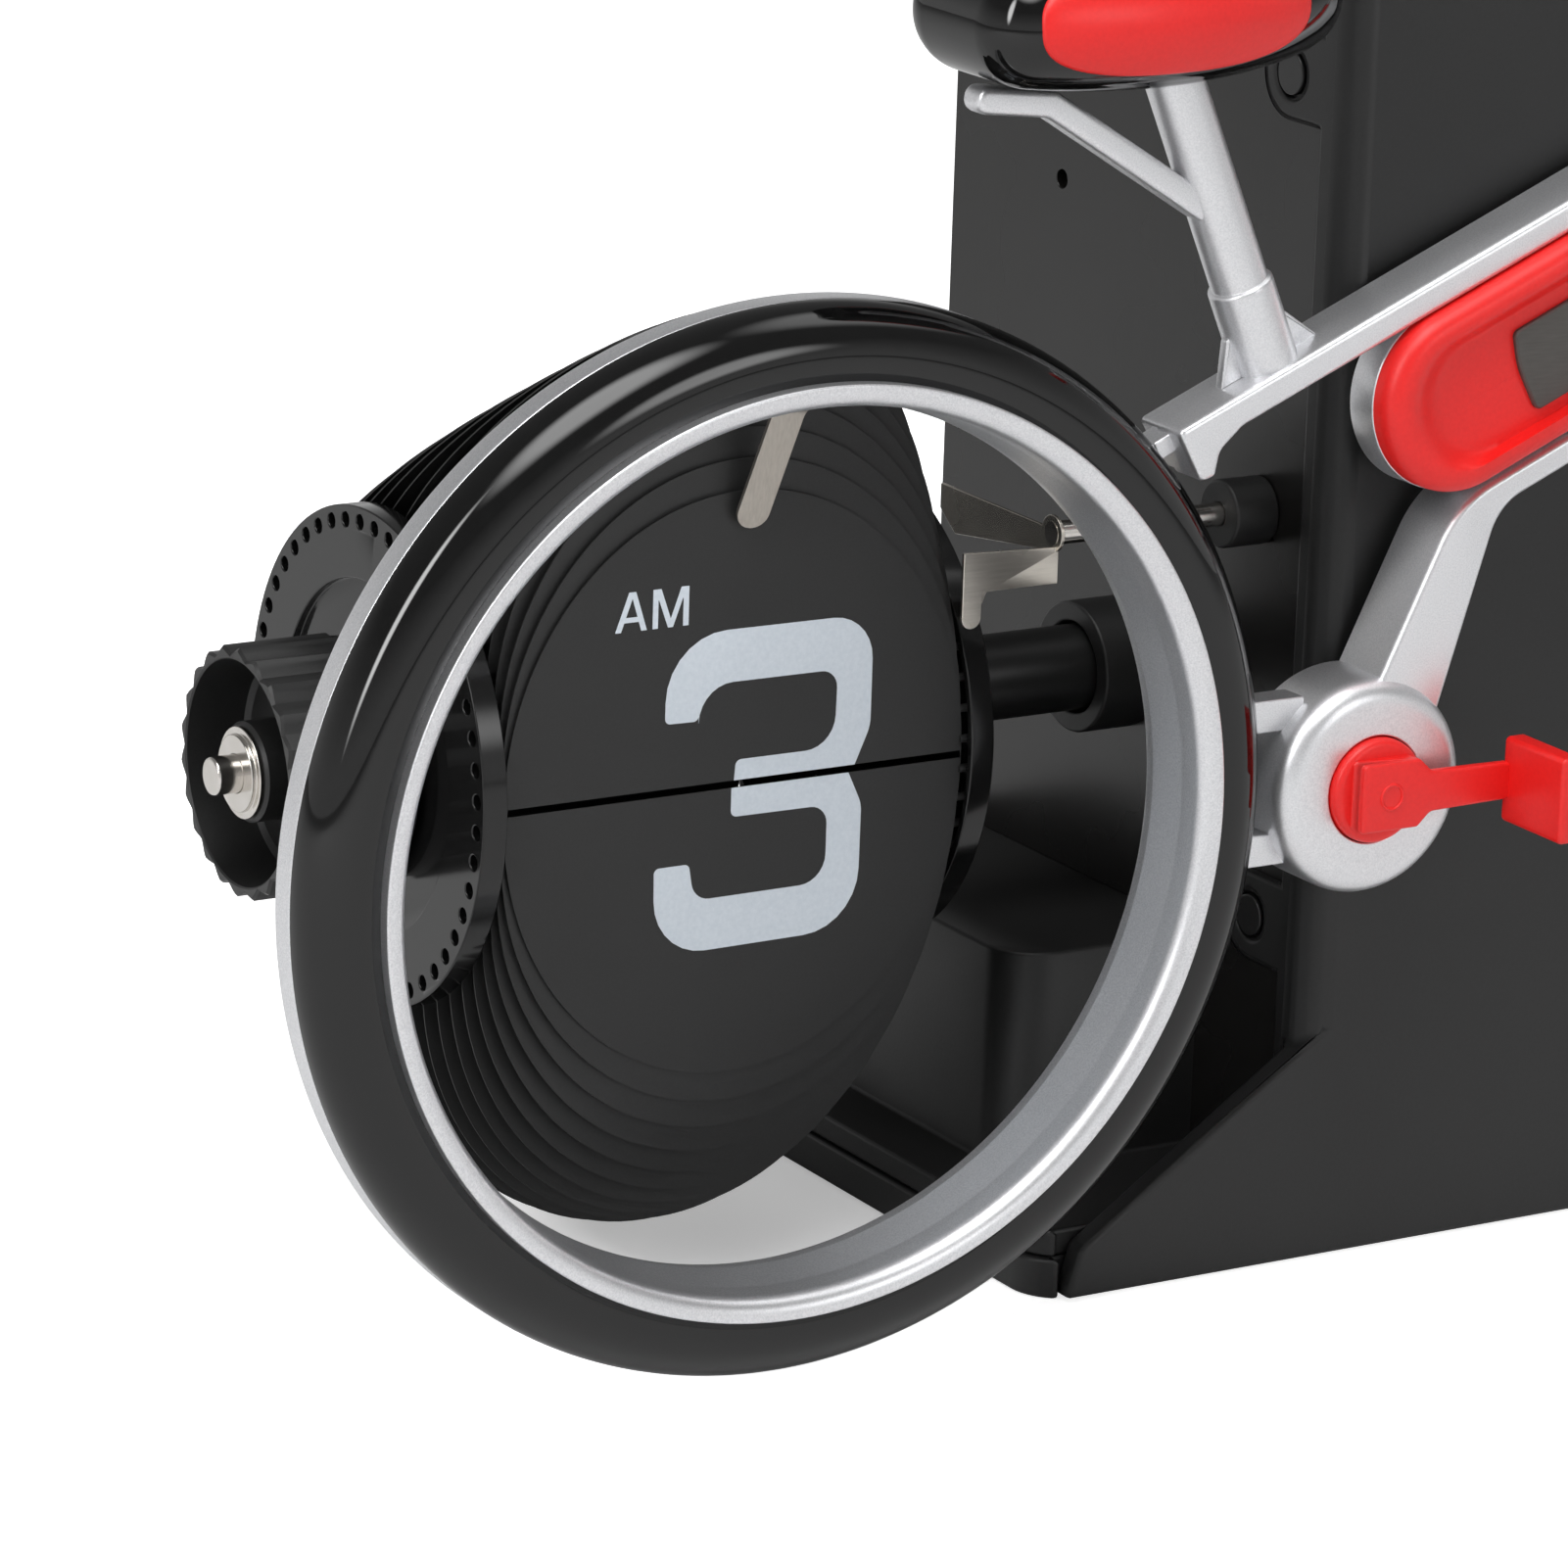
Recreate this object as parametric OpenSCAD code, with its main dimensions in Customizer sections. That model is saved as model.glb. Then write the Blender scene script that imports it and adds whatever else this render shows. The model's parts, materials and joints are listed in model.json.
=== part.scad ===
// Flip clock in the form of a bicycle, as an assembly of separate parts.
// Millimetres, Z up, X to the right, the display faces -Y.
// The origin is the middle of the base underside.

/* [Wheels] */
// half the distance between the wheel centres
wheel_x = 124; // [116:1:132]
// radius of the thin front lip of the rim
lip_r = 55; // [53:0.5:57]
// how far the tyre stands outside the lip
tyre_over = 8.3; // [7:0.1:9]
// depth from the lip to the flange behind the tyre
tyre_d = 7.3; // [6:0.1:8]
// depth of the whole rim
rim_d = 11.3; // [10:0.1:12]
// width of the lip
lip_w = 1.2; // [0.8:0.1:2]
// width of the rim throat inside the lip radius
throat_in = 3.7; // [3:0.1:5]
// radius of the round tyre section
tyre_round = 6; // [5.5:0.1:6.5]
// gap between tyre and table
wheel_lift = 2.7; // [2:0.1:4]

/* [Leaves and drums] */
// drum axis behind the lip plane
drum_back = 59.7; // [59:0.1:62]
// middle of the leaves, to the right of the wheel centre
drum_off = 7.3; // [5:0.1:9]
// radius of the ring of pins
pin_ring = 28.2; // [27.5:0.1:29]
// radius of a hinge pin
pin_r = 0.5; // [0.4:0.05:0.6]
// height of a half-round leaf
leaf_r = 35.6; // [33:0.1:37]
// half width of a leaf
leaf_hw = 31; // [28:0.5:32]
// Distance from the middle of a leaf to the centre of the arc of its other side
leaf_side = 9.9; // [9:0.1:11]
// thickness of a leaf
leaf_t = 0.2; // [0.15:0.01:0.22]
// air between neighbouring leaves at the pin
leaf_gap = 0.07; // [0.06:0.01:0.1]
// air on the split line between upper and lower leaf
split_gap = 0.9; // [0.6:0.1:1.2]
// leaves on the hour drum
hour_leaves = 48; // [40:2:48]
// leaves on the minute drum
minute_leaves = 60; // [50:2:60]
// radius of the drum discs
disc_r = 30; // [29.5:0.1:31]
// thickness of a drum disc
disc_t = 3.2; // [2.8:0.1:4]
// air between leaf edge and disc
disc_gap = 0.35; // [0.3:0.05:0.6]
// radius of the recess in a disc face
disc_recess_r = 21.3; // [19:0.1:23]
// depth of that recess
disc_recess = 1; // [0.5:0.1:1.2]
// radius of the pin holes in a disc
pin_hole_r = 0.9; // [0.7:0.05:1]
// depth of the pin groove in a disc
pin_groove = 1.6; // [1.4:0.1:1.8]

/* [Shafts and knobs] */
// radius of the drum shafts
shaft_r = 2.3; // [2:0.05:2.5]
// radius of the sleeve on a shaft
sleeve_r = 5.4; // [4.8:0.1:5.8]
// radius of the setting knob
knob_r = 15.1; // [14:0.1:16]
// length of the setting knob
knob_l = 16.7; // [14:0.1:18]
// wall of the knob cup
knob_wall = 1.7; // [1.4:0.1:2.2]
// depth of the knob cup
knob_cup = 8; // [6:0.5:10]
// radius of the hub in the knob cup
knob_hub_r = 6; // [5.6:0.1:7]
// flutes round the knob
knob_flutes = 22; // [18:1:26]
// radius of the bearing boss
boss_r = 8.3; // [7.8:0.1:9]
// length of the bearing boss
boss_l = 7.8; // [7:0.1:9]
// radius of the guide rod
rod_r = 1.35; // [1.2:0.05:1.5]
// radius of the guide rod boss
rod_boss_r = 4.2; // [3.8:0.1:4.8]
// guide rod in front of the drum axis
rod_front = 28.5; // [28:0.1:29]
// guide rod above the drum axis
rod_up = 26; // [25.5:0.1:26.5]
// thickness of the spring sheet
sheet_t = 0.5; // [0.4:0.05:0.6]
// angle of the flap spring from upright
flap_spring_tilt = 13; // [10:1:14]

/* [Case] */
// width of the case
case_w = 90; // [88:1:92]
// depth of the case
case_d = 88; // [86:0.5:90]
// height of the case
case_h = 160; // [152:1:170]
// wall of the mouldings
wall = 2.4; // [2:0.1:2.8]
// radius of the front edges of the case
corner_r = 3.6; // [2.6:0.1:4]
// depth of the front housing's side flange
flange_d = 6.4; // [6:0.1:7]
// thickness of the metal side plates
plate_t = 1.6; // [1.2:0.1:2]
// how deep the side plates lie in the case
plate_in = 0.8; // [0.6:0.1:1]
// radius of the screw heads
screw_r = 2.6; // [2.2:0.1:2.8]
// radius of the screw shanks
shank_r = 1.2; // [1:0.1:1.3]
// side screws behind the front of the case
screw_back = 12.5; // [12:0.1:14]
// height of the lower side screws
screw_low = 41.5; // [41:0.5:46]
// upper side screws below the top
screw_drop = 14; // [12:0.5:18]
// radius of the lugs round the side screws
lug_r = 5.6; // [5:0.1:6]

/* [Base] */
// half width of the base plate
base_hw = 81; // [80:0.5:84]
// height of the base plate
base_h = 5; // [4.5:0.1:6]
// thickness of the shoulder on the base plate
shoulder_h = 3.3; // [3:0.1:4]
// half width of the housing on the base
block_hw = 71.5; // [68:0.5:74]
// height of the housing top
block_h = 36; // [35:0.5:37]
// front of the housing behind the front of the case
block_back = 24.3; // [23:0.1:26]
// corner radius of the housing
block_r = 6.5; // [5:0.1:8]
// half width of the front foot
foot_hw = 77.5; // [75:0.5:79]
// thickness of the front foot
foot_t = 3.5; // [3:0.1:4]
// height of the front foot at its end
foot_h = 6.8; // [6:0.1:8]
// height where the foot meets the case
foot_top = 30.5; // [28:0.5:33]
// radius of the rubber pads
pad_r = 6; // [5:0.5:7]
// half width of the battery door
door_hw = 30; // [28:0.5:31]
// height of the battery door
door_h = 20.5; // [19:0.5:21]
// radius of the door hinge pins
door_pin_r = 0.9; // [0.8:0.05:1]
// radius of a battery cell
cell_r = 7.1; // [7:0.1:7.25]
// length of a battery cell
cell_l = 50; // [49:0.5:51]

/* [Bicycle frame] */
// slope of the top tube
beam_pitch = 23; // [22:0.5:24]
// height of the top tube section
beam_t = 3.7; // [3.2:0.1:4.2]
// depth of the frame
frame_d = 9.2; // [8.6:0.1:9.6]
// gap between wheel and frame, filled by the stubs
stub_l = 2.5; // [2.2:0.1:3]
// radius of the bottom bracket
bracket_r = 13.3; // [12.5:0.1:14]
// bottom bracket below the wheel centre
bracket_drop = 1.9; // [1:0.1:3]
// radius of the crank hub
hub_r = 6.5; // [6:0.1:7]
// width of the down tube
tube_w = 10.3; // [9:0.1:11]
// Height of the down tube where it meets the head tube
tube_end_w = 3.4; // [3:0.1:4]
// radius of the frame cover
cover_r = 11.2; // [10.5:0.1:11.4]
// distance of the cover's round ends
cover_l = 60; // [54:1:64]
// radius of the seat post
post_r = 3.45; // [3:0.05:3.8]
// length of the seat post up to the saddle
post_l = 36.8; // [36:0.2:38]
// radius of the seat post collar
collar_r = 3.95; // [3.9:0.05:4.3]
// length of the seat post collar
collar_l = 10.4; // [9:0.1:12]
// radius of the saddle at the rear
saddle_r = 7.2; // [7:0.1:7.5]
// radius of the saddle nose
nose_r = 7; // [6.8:0.1:7.4]
// length of the saddle between those
saddle_l = 38; // [36:0.5:40]
// length of the crank arm
crank_l = 18; // [17:0.1:19]
// height of the crank arm
crank_h = 4.6; // [4:0.1:5]
// length of the pedal
pedal_l = 12; // [11:0.5:14]
// head tube in front of the front wheel centre
head_back = 76; // [75:0.5:78]
// lean of the head tube
head_tilt = 18; // [16:0.5:20]
// radius of the head tube
head_r = 5.5; // [5:0.1:5.7]
// length of the head tube
head_l = 46; // [44:1:48]
// radius of the fork leg
fork_r = 4.2; // [3.8:0.1:4.4]
// length of the fork leg
fork_l = 26; // [24:0.5:27]
// radius of the steerer in the head tube
steerer_r = 3; // [2.6:0.1:3.2]
// half width of the handlebar
bar_hw = 28; // [24:0.5:30]
// radius of the handlebar
bar_r = 3; // [2.6:0.1:3.2]
// length of a grip
grip_l = 16; // [14:0.5:18]
// wall of a grip
grip_wall = 1.4; // [1:0.1:1.8]

/* [Gear train] */
// module of the hour and motor pairs
fine_module = 0.6; // [0.55:0.01:0.62]
// teeth of the hour gear and of the minute gear
large_teeth = 60; // [60:1:60]
// teeth of the counter pinion
counter_pinion_teeth = 10; // [10:1:10]
// teeth of the motor pinion
motor_teeth = 12; // [12:1:12]
// teeth of the minute pinion
minute_pinion_teeth = 12; // [12:1:12]
// teeth of the counter wheel
counter_wheel_teeth = 48; // [48:1:48]
// width taken off each tooth for backlash
gear_slack = 0.1; // [0.08:0.01:0.14]
// radius of the counter shaft
counter_r = 1.5; // [1.3:0.05:1.55]
// radius of the motor shaft
motor_shaft_r = 1; // [0.8:0.05:1.2]
// radius of the motor
motor_r = 11; // [10:0.5:12]
// thickness of the outer chassis plates
chassis_t = 2; // [1.8:0.1:2.4]
// half thickness of the middle chassis plate
middle_ht = 3; // [2.6:0.1:3.2]
// half length of the chassis
chassis_hx = 24; // [23.5:0.5:26]

/* [Fits] */
// running clearance of shafts and pins
run = 0.05; // [0.03:0.01:0.08]
// clearance of parts that are fixed together
fit = 0.02; // [0.01:0.01:0.04]
// air between parts that pass each other
air = 0.4; // [0.35:0.05:0.5]

/* [Hidden] */
$fn = 64;

black = "#2e2d2d";
gloss = "#161616";
silver = "#c8c9cc";
steel = "#a5a29c";
red = "#e03a38";

wheel_r = lip_r + tyre_over;
wheel_z = wheel_r + wheel_lift;
front_y = -case_d / 2;
rear_y = case_d / 2;
case_hx = case_w / 2;
plate_face = case_hx - plate_in;
plate_inner = plate_face - plate_t;
base_top = base_h + shoulder_h;
foot_back = front_y + foot_t;
foot_room = 0.1;
block_front = front_y + block_back;
block_wall = 2.4;

// in the wheel frame: x from the wheel centre, y from the lip plane, z from the wheel centre
case_y = drum_back - case_d / 2;
frame_mid = (tyre_d + rim_d) / 2;
frame_y = frame_mid - frame_d / 2;
frame_back = frame_mid + frame_d / 2;
stub_h = 4;
beam_start = 41.8;
beam_seat = wheel_r + stub_l + 0.3;
beam_u = beam_seat * cos(beam_start);
beam_w = beam_seat * sin(beam_start);
bracket_out = 0.2;
bracket_u = wheel_x - case_hx - bracket_out;
head_above = 7;
head_u = 2 * wheel_x - head_back;
head_w = beam_w + (head_u - beam_u) * tan(beam_pitch) - head_l / 2 + head_above;
beam_l = (head_u - beam_u) / cos(beam_pitch);
cover_s = 36.5;
cover_room = 0.1;
cover_n = -beam_t - cover_r - cover_room;
cover_front = 2.4;
cover_back = 6;
bed_back = 10.8;
frame_gap = case_y - frame_back;
function on_slope(s, n) =
  [beam_u + s * cos(beam_pitch) - n * sin(beam_pitch), beam_w + s * sin(beam_pitch) + n * cos(beam_pitch)];
function cover_point(s) = on_slope(cover_s + s, cover_n);

// in the drum frame: x from the wheel centre, y and z from the drum axis
wall_x = wheel_x - plate_face;
leaf_left = drum_off - leaf_hw;
leaf_right = drum_off + leaf_hw;
disc_out = leaf_left - disc_gap - disc_t;
groove_half = pin_r + 0.3;
knob_end = disc_out - knob_l;
shaft_out = 3.4;
sleeve_in = 3;
overhang_hour = pin_ring * sin(180 / hour_leaves) - split_gap / 2;
overhang_minute = pin_ring * sin(180 / minute_leaves) - split_gap / 2;
pin_in = 1.05;

centre_fine = fine_module * (large_teeth + counter_pinion_teeth) / 2;
coarse_module = 2 * centre_fine / (minute_pinion_teeth + counter_wheel_teeth);
counter_z = wheel_z + centre_fine;
motor_y = fine_module * (large_teeth + motor_teeth) / 2;

module about_x() { rotate([0, 90, 0]) children(); }
module about_y() { rotate([-90, 0, 0]) children(); }
module rod_x(r, x0, x1) { translate([x0, 0, 0]) about_x() cylinder(r = r, h = x1 - x0); }
module rod_y(r, y0, y1) { translate([0, y0, 0]) about_y() cylinder(r = r, h = y1 - y0); }
module box(x0, x1, y0, y1, z0, z1) { translate([x0, y0, z0]) cube([x1 - x0, y1 - y0, z1 - z0]); }
module plate_xz(y0, y1) { translate([0, y1, 0]) rotate([90, 0, 0]) linear_extrude(y1 - y0) children(); }
module plate_yz(x0, x1) { translate([x0, 0, 0]) rotate([90, 0, 90]) linear_extrude(x1 - x0) children(); }
module strip(a, b, w) {
  translate(a) rotate(atan2(b[1] - a[1], b[0] - a[0])) translate([0, -w / 2]) square([norm(b - a), w]);
  for (p = [a, b]) translate(p) circle(d = w);
}
// a strip with one mitred bend at b and square ends
function across(a, b) = [a[1] - b[1], b[0] - a[0]] / norm(b - a);
module bent_strip(a, b, c, w) {
  first = across(a, b) * w / 2;
  last = across(b, c) * w / 2;
  mitre = (first + last) / (1 + first * last / pow(w / 2, 2));
  polygon([a + first, b + mitre, c + last, c - last, b - mitre, a - first]);
}
module slab(hx, y0, y1, z0, z1, r) {
  box(-hx + r, hx - r, y0, y1, z0, z1);
  box(-hx, hx, y0 + r, y1 - r, z0, z1);
  for (x = [-hx + r, hx - r], y = [y0 + r, y1 - r]) translate([x, y, z0]) cylinder(r = r, h = z1 - z0);
}
module both_sides() {
  children();
  mirror([1, 0, 0]) children();
}
module wheel_frame() { translate([-wheel_x, -drum_back, wheel_z]) children(); }
module hour_frame() { translate([-wheel_x, 0, wheel_z]) children(); }
module minute_frame() { mirror([1, 0, 0]) hour_frame() children(); }

// Gear teeth: involute flanks above the base circle, radial below it.
pressure = 20;
function involute_angle(base, r) =
  r <= base ? 0 : sqrt(pow(r / base, 2) - 1) * 180 / PI - acos(base / r);
function half_tooth(m, teeth, r) =
  let (pitch_r = m * teeth / 2, base = pitch_r * cos(pressure))
  90 / teeth - gear_slack / 2 / pitch_r * 180 / PI + involute_angle(base, pitch_r) - involute_angle(base, r);
function turn(r, a) = [r * cos(a), r * sin(a)];
function gear_points(m, teeth, top, root) =
  let (pitch_r = m * teeth / 2, flank = [pitch_r - root, pitch_r - root / 3, pitch_r + top / 2, pitch_r + top])
  [for (i = [0 : teeth - 1]) each concat(
    [for (r = flank) turn(r, i * 360 / teeth - half_tooth(m, teeth, r))],
    [for (k = [len(flank) - 1 : -1 : 0]) turn(flank[k], i * 360 / teeth + half_tooth(m, teeth, flank[k]))])];
module gear(m, teeth, top, root, x0, x1, angle) {
  plate_yz(x0, x1) rotate(angle) polygon(gear_points(m, teeth, top * m, root * m));
}
wheel_top = 0.55;
wheel_root = 1.15;
pinion_top = 0.9;
pinion_root = 0.8;

// Base
module base_plate() {
  color(black) difference() {
    slab(base_hw, front_y + 1, rear_y, 0, base_h, block_r);
    box(-foot_hw - foot_room, foot_hw + foot_room, front_y - 1, foot_back + foot_room, -1, base_h + 1);
    pad_places() translate([0, 0, -1]) cylinder(r = pad_r + fit, h = 1 + pad_h);
  }
}
pad_h = 1.6;
module pad_places() {
  for (x = [-base_hw + 14, base_hw - 14], y = [foot_back + 12, rear_y - 12]) translate([x, y, 0]) children();
}
module base_pads() { color(gloss) pad_places() cylinder(r = pad_r, h = pad_h); }

door_cap = 1.2;
door_top = block_h - block_wall - block_wall / 2 - door_cap;
door_y = rear_y - block_wall / 2;
door_room = 0.3;
door_bearing = 4;
module base_housing() {
  inner_front = block_front + block_wall;
  inner_hx = block_hw - block_wall;
  color(black) difference() {
    union() {
      difference() {
        union() {
          slab(base_hw - 0.6, front_y + 1.6, rear_y, base_h, base_top, block_r);
          slab(block_hw, block_front, rear_y, base_h, block_h, block_r);
        }
        slab(inner_hx, inner_front, rear_y - block_wall, base_h - 1, block_h - block_wall, block_r - block_wall);
        box(-foot_hw - foot_room, foot_hw + foot_room, front_y - 1, foot_back + foot_room, 0, block_h);
      }
      both_sides() box(door_hw + door_room, door_hw + door_room + door_bearing, rear_y - 2 * block_wall,
        rear_y, door_top - door_bearing / 2, door_top + door_bearing / 2);
    }
    box(-door_hw - door_room, door_hw + door_room, rear_y - 2 * block_wall, rear_y + 1,
      door_top - door_h - door_room, door_top + block_wall / 2 + door_room);
    translate([0, door_y, door_top]) both_sides()
      rod_x(door_pin_r + run, door_hw - 1, door_hw + door_room + door_bearing / 2);
  }
}
module battery_door() {
  color(black) translate([0, door_y, door_top]) {
    box(-door_hw, door_hw, -block_wall / 2, block_wall / 2, -door_h, 0);
    rod_x(block_wall / 2, -door_hw, door_hw);
    rod_x(door_pin_r, -door_hw - door_bearing / 2, door_hw + door_bearing / 2);
  }
}
cell_y = rear_y - block_wall * 2 - 2 * cell_r - 4;
cell_pitch = 2 * cell_r + 0.6;
tray_wall = 1.8;
cell_z = base_h + tray_wall + cell_r + air;
module battery_tray() {
  hx = cell_l / 2 + 1.2;
  hy = cell_pitch / 2 + cell_r + air;
  color(black) difference() {
    box(-hx - tray_wall, hx + tray_wall, cell_y - hy - tray_wall, cell_y + hy + tray_wall, base_h, cell_z);
    box(-hx, hx, cell_y - hy, cell_y + hy, base_h + tray_wall, cell_z + 1);
  }
}
module battery_cells() {
  nub = 1;
  color(red) for (side = [-1, 1]) translate([0, cell_y + side * cell_pitch / 2, cell_z - air]) {
    rod_x(cell_r, -cell_l / 2, cell_l / 2 - nub);
    rod_x(cell_r / 3, cell_l / 2 - nub, cell_l / 2);
  }
}

// Case
foot_clear = 0.4;
screw_y = front_y + screw_back;
screw_high = case_h - screw_drop;
inner_lug = 4;
board_post_r = 2.6;
board_post_l = 5;
board_x = 14;
board_edge = 6;
board_low = wheel_z + board_edge;
board_l = 38;
board_high = board_low + board_l;
board_hole = 5;
board_t = 1.6;
chip_up = 8;
chip_l = 14;
chip_t = 2;
post_aside = 8;
post_along = 15;
frame_posts = [[bracket_u + post_aside, -bracket_drop], cover_point(post_along), cover_point(cover_l - post_along)];
frame_post_r = 3;
module screw_places() {
  for (z = [screw_low, screw_high]) translate([0, screw_y, z]) children();
}
module front_housing() {
  color(black) {
    difference() {
      union() {
        box(-case_hx + corner_r, case_hx - corner_r, front_y, front_y + flange_d, base_top, case_h);
        box(-case_hx, case_hx, front_y + corner_r, front_y + flange_d, base_top, case_h);
        both_sides() intersection() {
          translate([case_hx - corner_r, front_y + corner_r, base_top])
            cylinder(r = corner_r, h = case_h - base_top);
          box(0, case_hx, front_y, front_y + corner_r, base_top, case_h);
        }
        box(-case_hx, case_hx, front_y + flange_d - 1, rear_y, case_h - wall, case_h);
        plate_xz(front_y, foot_back) polygon([
          [-foot_hw, foot_clear], [foot_hw, foot_clear], [foot_hw - 1.8, foot_h], [case_hx - 4.2, foot_top],
          [-case_hx + 4.2, foot_top], [-foot_hw + 1.8, foot_h]]);
        both_sides() screw_places() {
          rod_x(lug_r, plate_face, case_hx);
          box(plate_face, case_hx, -screw_back + flange_d - 1, 0, -lug_r, lug_r);
        }
      }
      box(-plate_inner + fit, plate_inner - fit, foot_back, front_y + flange_d + 1, base_top - 1, case_h - wall);
      both_sides() screw_places() rod_x(screw_r + air, plate_face - 1, case_hx + 1);
      frame_screw_places() rod_y(shank_r + fit, -1, foot_t + 1);
    }
    both_sides() difference() {
      screw_places() box(plate_inner - fit - inner_lug, plate_inner - fit, foot_back - front_y - screw_back - 0.5,
        lug_r, -lug_r, lug_r);
      screw_places() rod_x(shank_r + fit, 0, case_hx);
    }
    for (x = [-board_x, board_x], z = [board_low + board_hole, board_high - board_hole]) translate([x, front_y, z])
      rod_y(board_post_r, foot_t - 0.5, foot_t + board_post_l);
  }
}
module frame_screw_places() {
  for (p = frame_posts) translate([p[0] - wheel_x, front_y, p[1] + wheel_z]) children();
}
module rear_cover() {
  hx = plate_inner - 0.1;
  color(black) box(-hx, hx, rear_y - wall, rear_y, block_h, case_h - wall);
}
hole_y = 18.5;
hole_z = 124;
module side_plate() {
  edge = front_y + flange_d;
  difference() {
    plate_yz(plate_inner, plate_face) polygon([
      [edge, base_top], [block_front, base_top], [block_front, block_h],
      [rear_y, block_h], [rear_y, case_h - wall], [edge, case_h - wall]]);
    translate([0, 0, wheel_z]) rod_x(spigot_r + fit, plate_inner - 1, plate_face + 1);
    screw_places() rod_x(shank_r + run, plate_inner - 1, plate_face + 1);
    translate([0, hole_y, hole_z]) rod_x(shank_r, plate_inner - 1, plate_face + 1);
  }
}
module side_plate_right() { color(black) side_plate(); }
module side_plate_left() { color(black) mirror([1, 0, 0]) side_plate(); }
spring_screw_r = 58.6;
module screws() {
  head = 1;
  length = inner_lug + plate_t - 0.5;
  color(steel) {
    both_sides() screw_places() {
      rod_x(screw_r, plate_face, plate_face + head);
      rod_x(shank_r, plate_face - length, plate_face);
    }
    frame_screw_places() {
      rod_y(screw_r, foot_t, foot_t + head);
      rod_y(shank_r, -frame_gap - 1, foot_t);
    }
    both_sides() wheel_frame() rotate([0, flap_spring_tilt, 0]) translate([0, rim_d, spring_screw_r]) {
      rod_y(screw_r * 0.7, sheet_t, sheet_t + head);
      rod_y(shank_r * 0.7, -2, sheet_t);
    }
  }
}

// Movement
hour_gear_x = -16;
hour_gear_w = 4;
minute_pinion_x = 7;
minute_gear_x = 15;
minute_gear_w = 3;
module gear_chassis() {
  top = counter_z + 12;
  inner = chassis_hx - chassis_t;
  web = 2.5;
  color(steel) difference() {
    union() {
      box(-chassis_hx, chassis_hx, block_front + 1, motor_y + motor_r, block_h, block_h + web);
      for (x = [[-chassis_hx, -inner], [-middle_ht, middle_ht], [inner, chassis_hx]])
        box(x[0], x[1], block_front + 1, motor_y + motor_r, block_h, top);
    }
    translate([0, 0, wheel_z]) rod_x(shaft_r + run, -chassis_hx - 1, chassis_hx + 1);
    translate([0, 0, counter_z]) {
      rod_x(counter_r + run, -chassis_hx - 1, chassis_hx + 1);
      rod_x(counter_hub_r + run, -middle_ht - 1, middle_ht + 1);
    }
    translate([0, motor_y, wheel_z]) rod_x(motor_shaft_r + run, inner - 1, chassis_hx + 1);
  }
}
motor_l = 14;
module drive_motor() {
  color(steel) translate([0, motor_y, wheel_z]) difference() {
    rod_x(motor_r, chassis_hx, chassis_hx + motor_l);
    rod_x(motor_shaft_r + run, chassis_hx - 1, chassis_hx + motor_l / 2);
  }
}
module motor_pinion() {
  color(steel) translate([0, motor_y, wheel_z]) {
    rod_x(motor_shaft_r, minute_gear_x - 1, chassis_hx + motor_l / 2 - 1);
    gear(fine_module, motor_teeth, pinion_top, pinion_root, minute_gear_x - 1, minute_gear_x + minute_gear_w + 1,
      180 + 180 / motor_teeth);
  }
}
module circuit_board() {
  y0 = front_y + foot_t + board_post_l;
  color("#2f5a3c") {
    box(-board_x - board_edge, board_x + board_edge, y0, y0 + board_t, board_low, board_high);
    box(-board_x / 2, board_x / 2, y0, y0 + board_t + chip_t, board_low + chip_up, board_low + chip_up + chip_l);
  }
}
counter_hub_r = fine_module * counter_pinion_teeth / 2 - 1;
module counter_shaft() {
  color(steel) translate([0, 0, counter_z]) rod_x(counter_r, -chassis_hx, chassis_hx);
}
module counter_gear() {
  color("#c9c3b4") translate([0, 0, counter_z]) difference() {
    union() {
      gear(fine_module, counter_pinion_teeth, pinion_top, pinion_root, hour_gear_x - 1,
        hour_gear_x + hour_gear_w + 1, 270 + 180 / counter_pinion_teeth);
      rod_x(counter_hub_r, hour_gear_x, minute_pinion_x + 3);
      gear(coarse_module, counter_wheel_teeth, wheel_top, wheel_root, minute_pinion_x + 1, minute_pinion_x + 4, 270);
    }
    rod_x(counter_r + fit, hour_gear_x - 2, minute_pinion_x + 6);
  }
}
module hour_gear() {
  color("#c9c3b4") translate([0, 0, wheel_z]) difference() {
    union() {
      gear(fine_module, large_teeth, wheel_top, wheel_root, hour_gear_x, hour_gear_x + hour_gear_w, 90);
      rod_x(2 * shaft_r, hour_gear_x - 3, hour_gear_x + 1);
    }
    rod_x(shaft_r + fit, hour_gear_x - 4, hour_gear_x + hour_gear_w + 1);
  }
}
module minute_gear() {
  color("#c9c3b4") translate([0, 0, wheel_z]) difference() {
    union() {
      gear(fine_module, large_teeth, wheel_top, wheel_root, minute_gear_x, minute_gear_x + minute_gear_w, 0);
      gear(coarse_module, minute_pinion_teeth, pinion_top, pinion_root, minute_pinion_x, minute_pinion_x + 5,
        90 + 180 / minute_pinion_teeth);
      rod_x(shaft_r + 1.1, minute_pinion_x, minute_gear_x + minute_gear_w);
    }
    rod_x(shaft_r + fit, minute_pinion_x - 1, minute_gear_x + minute_gear_w + 1);
  }
}

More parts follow.
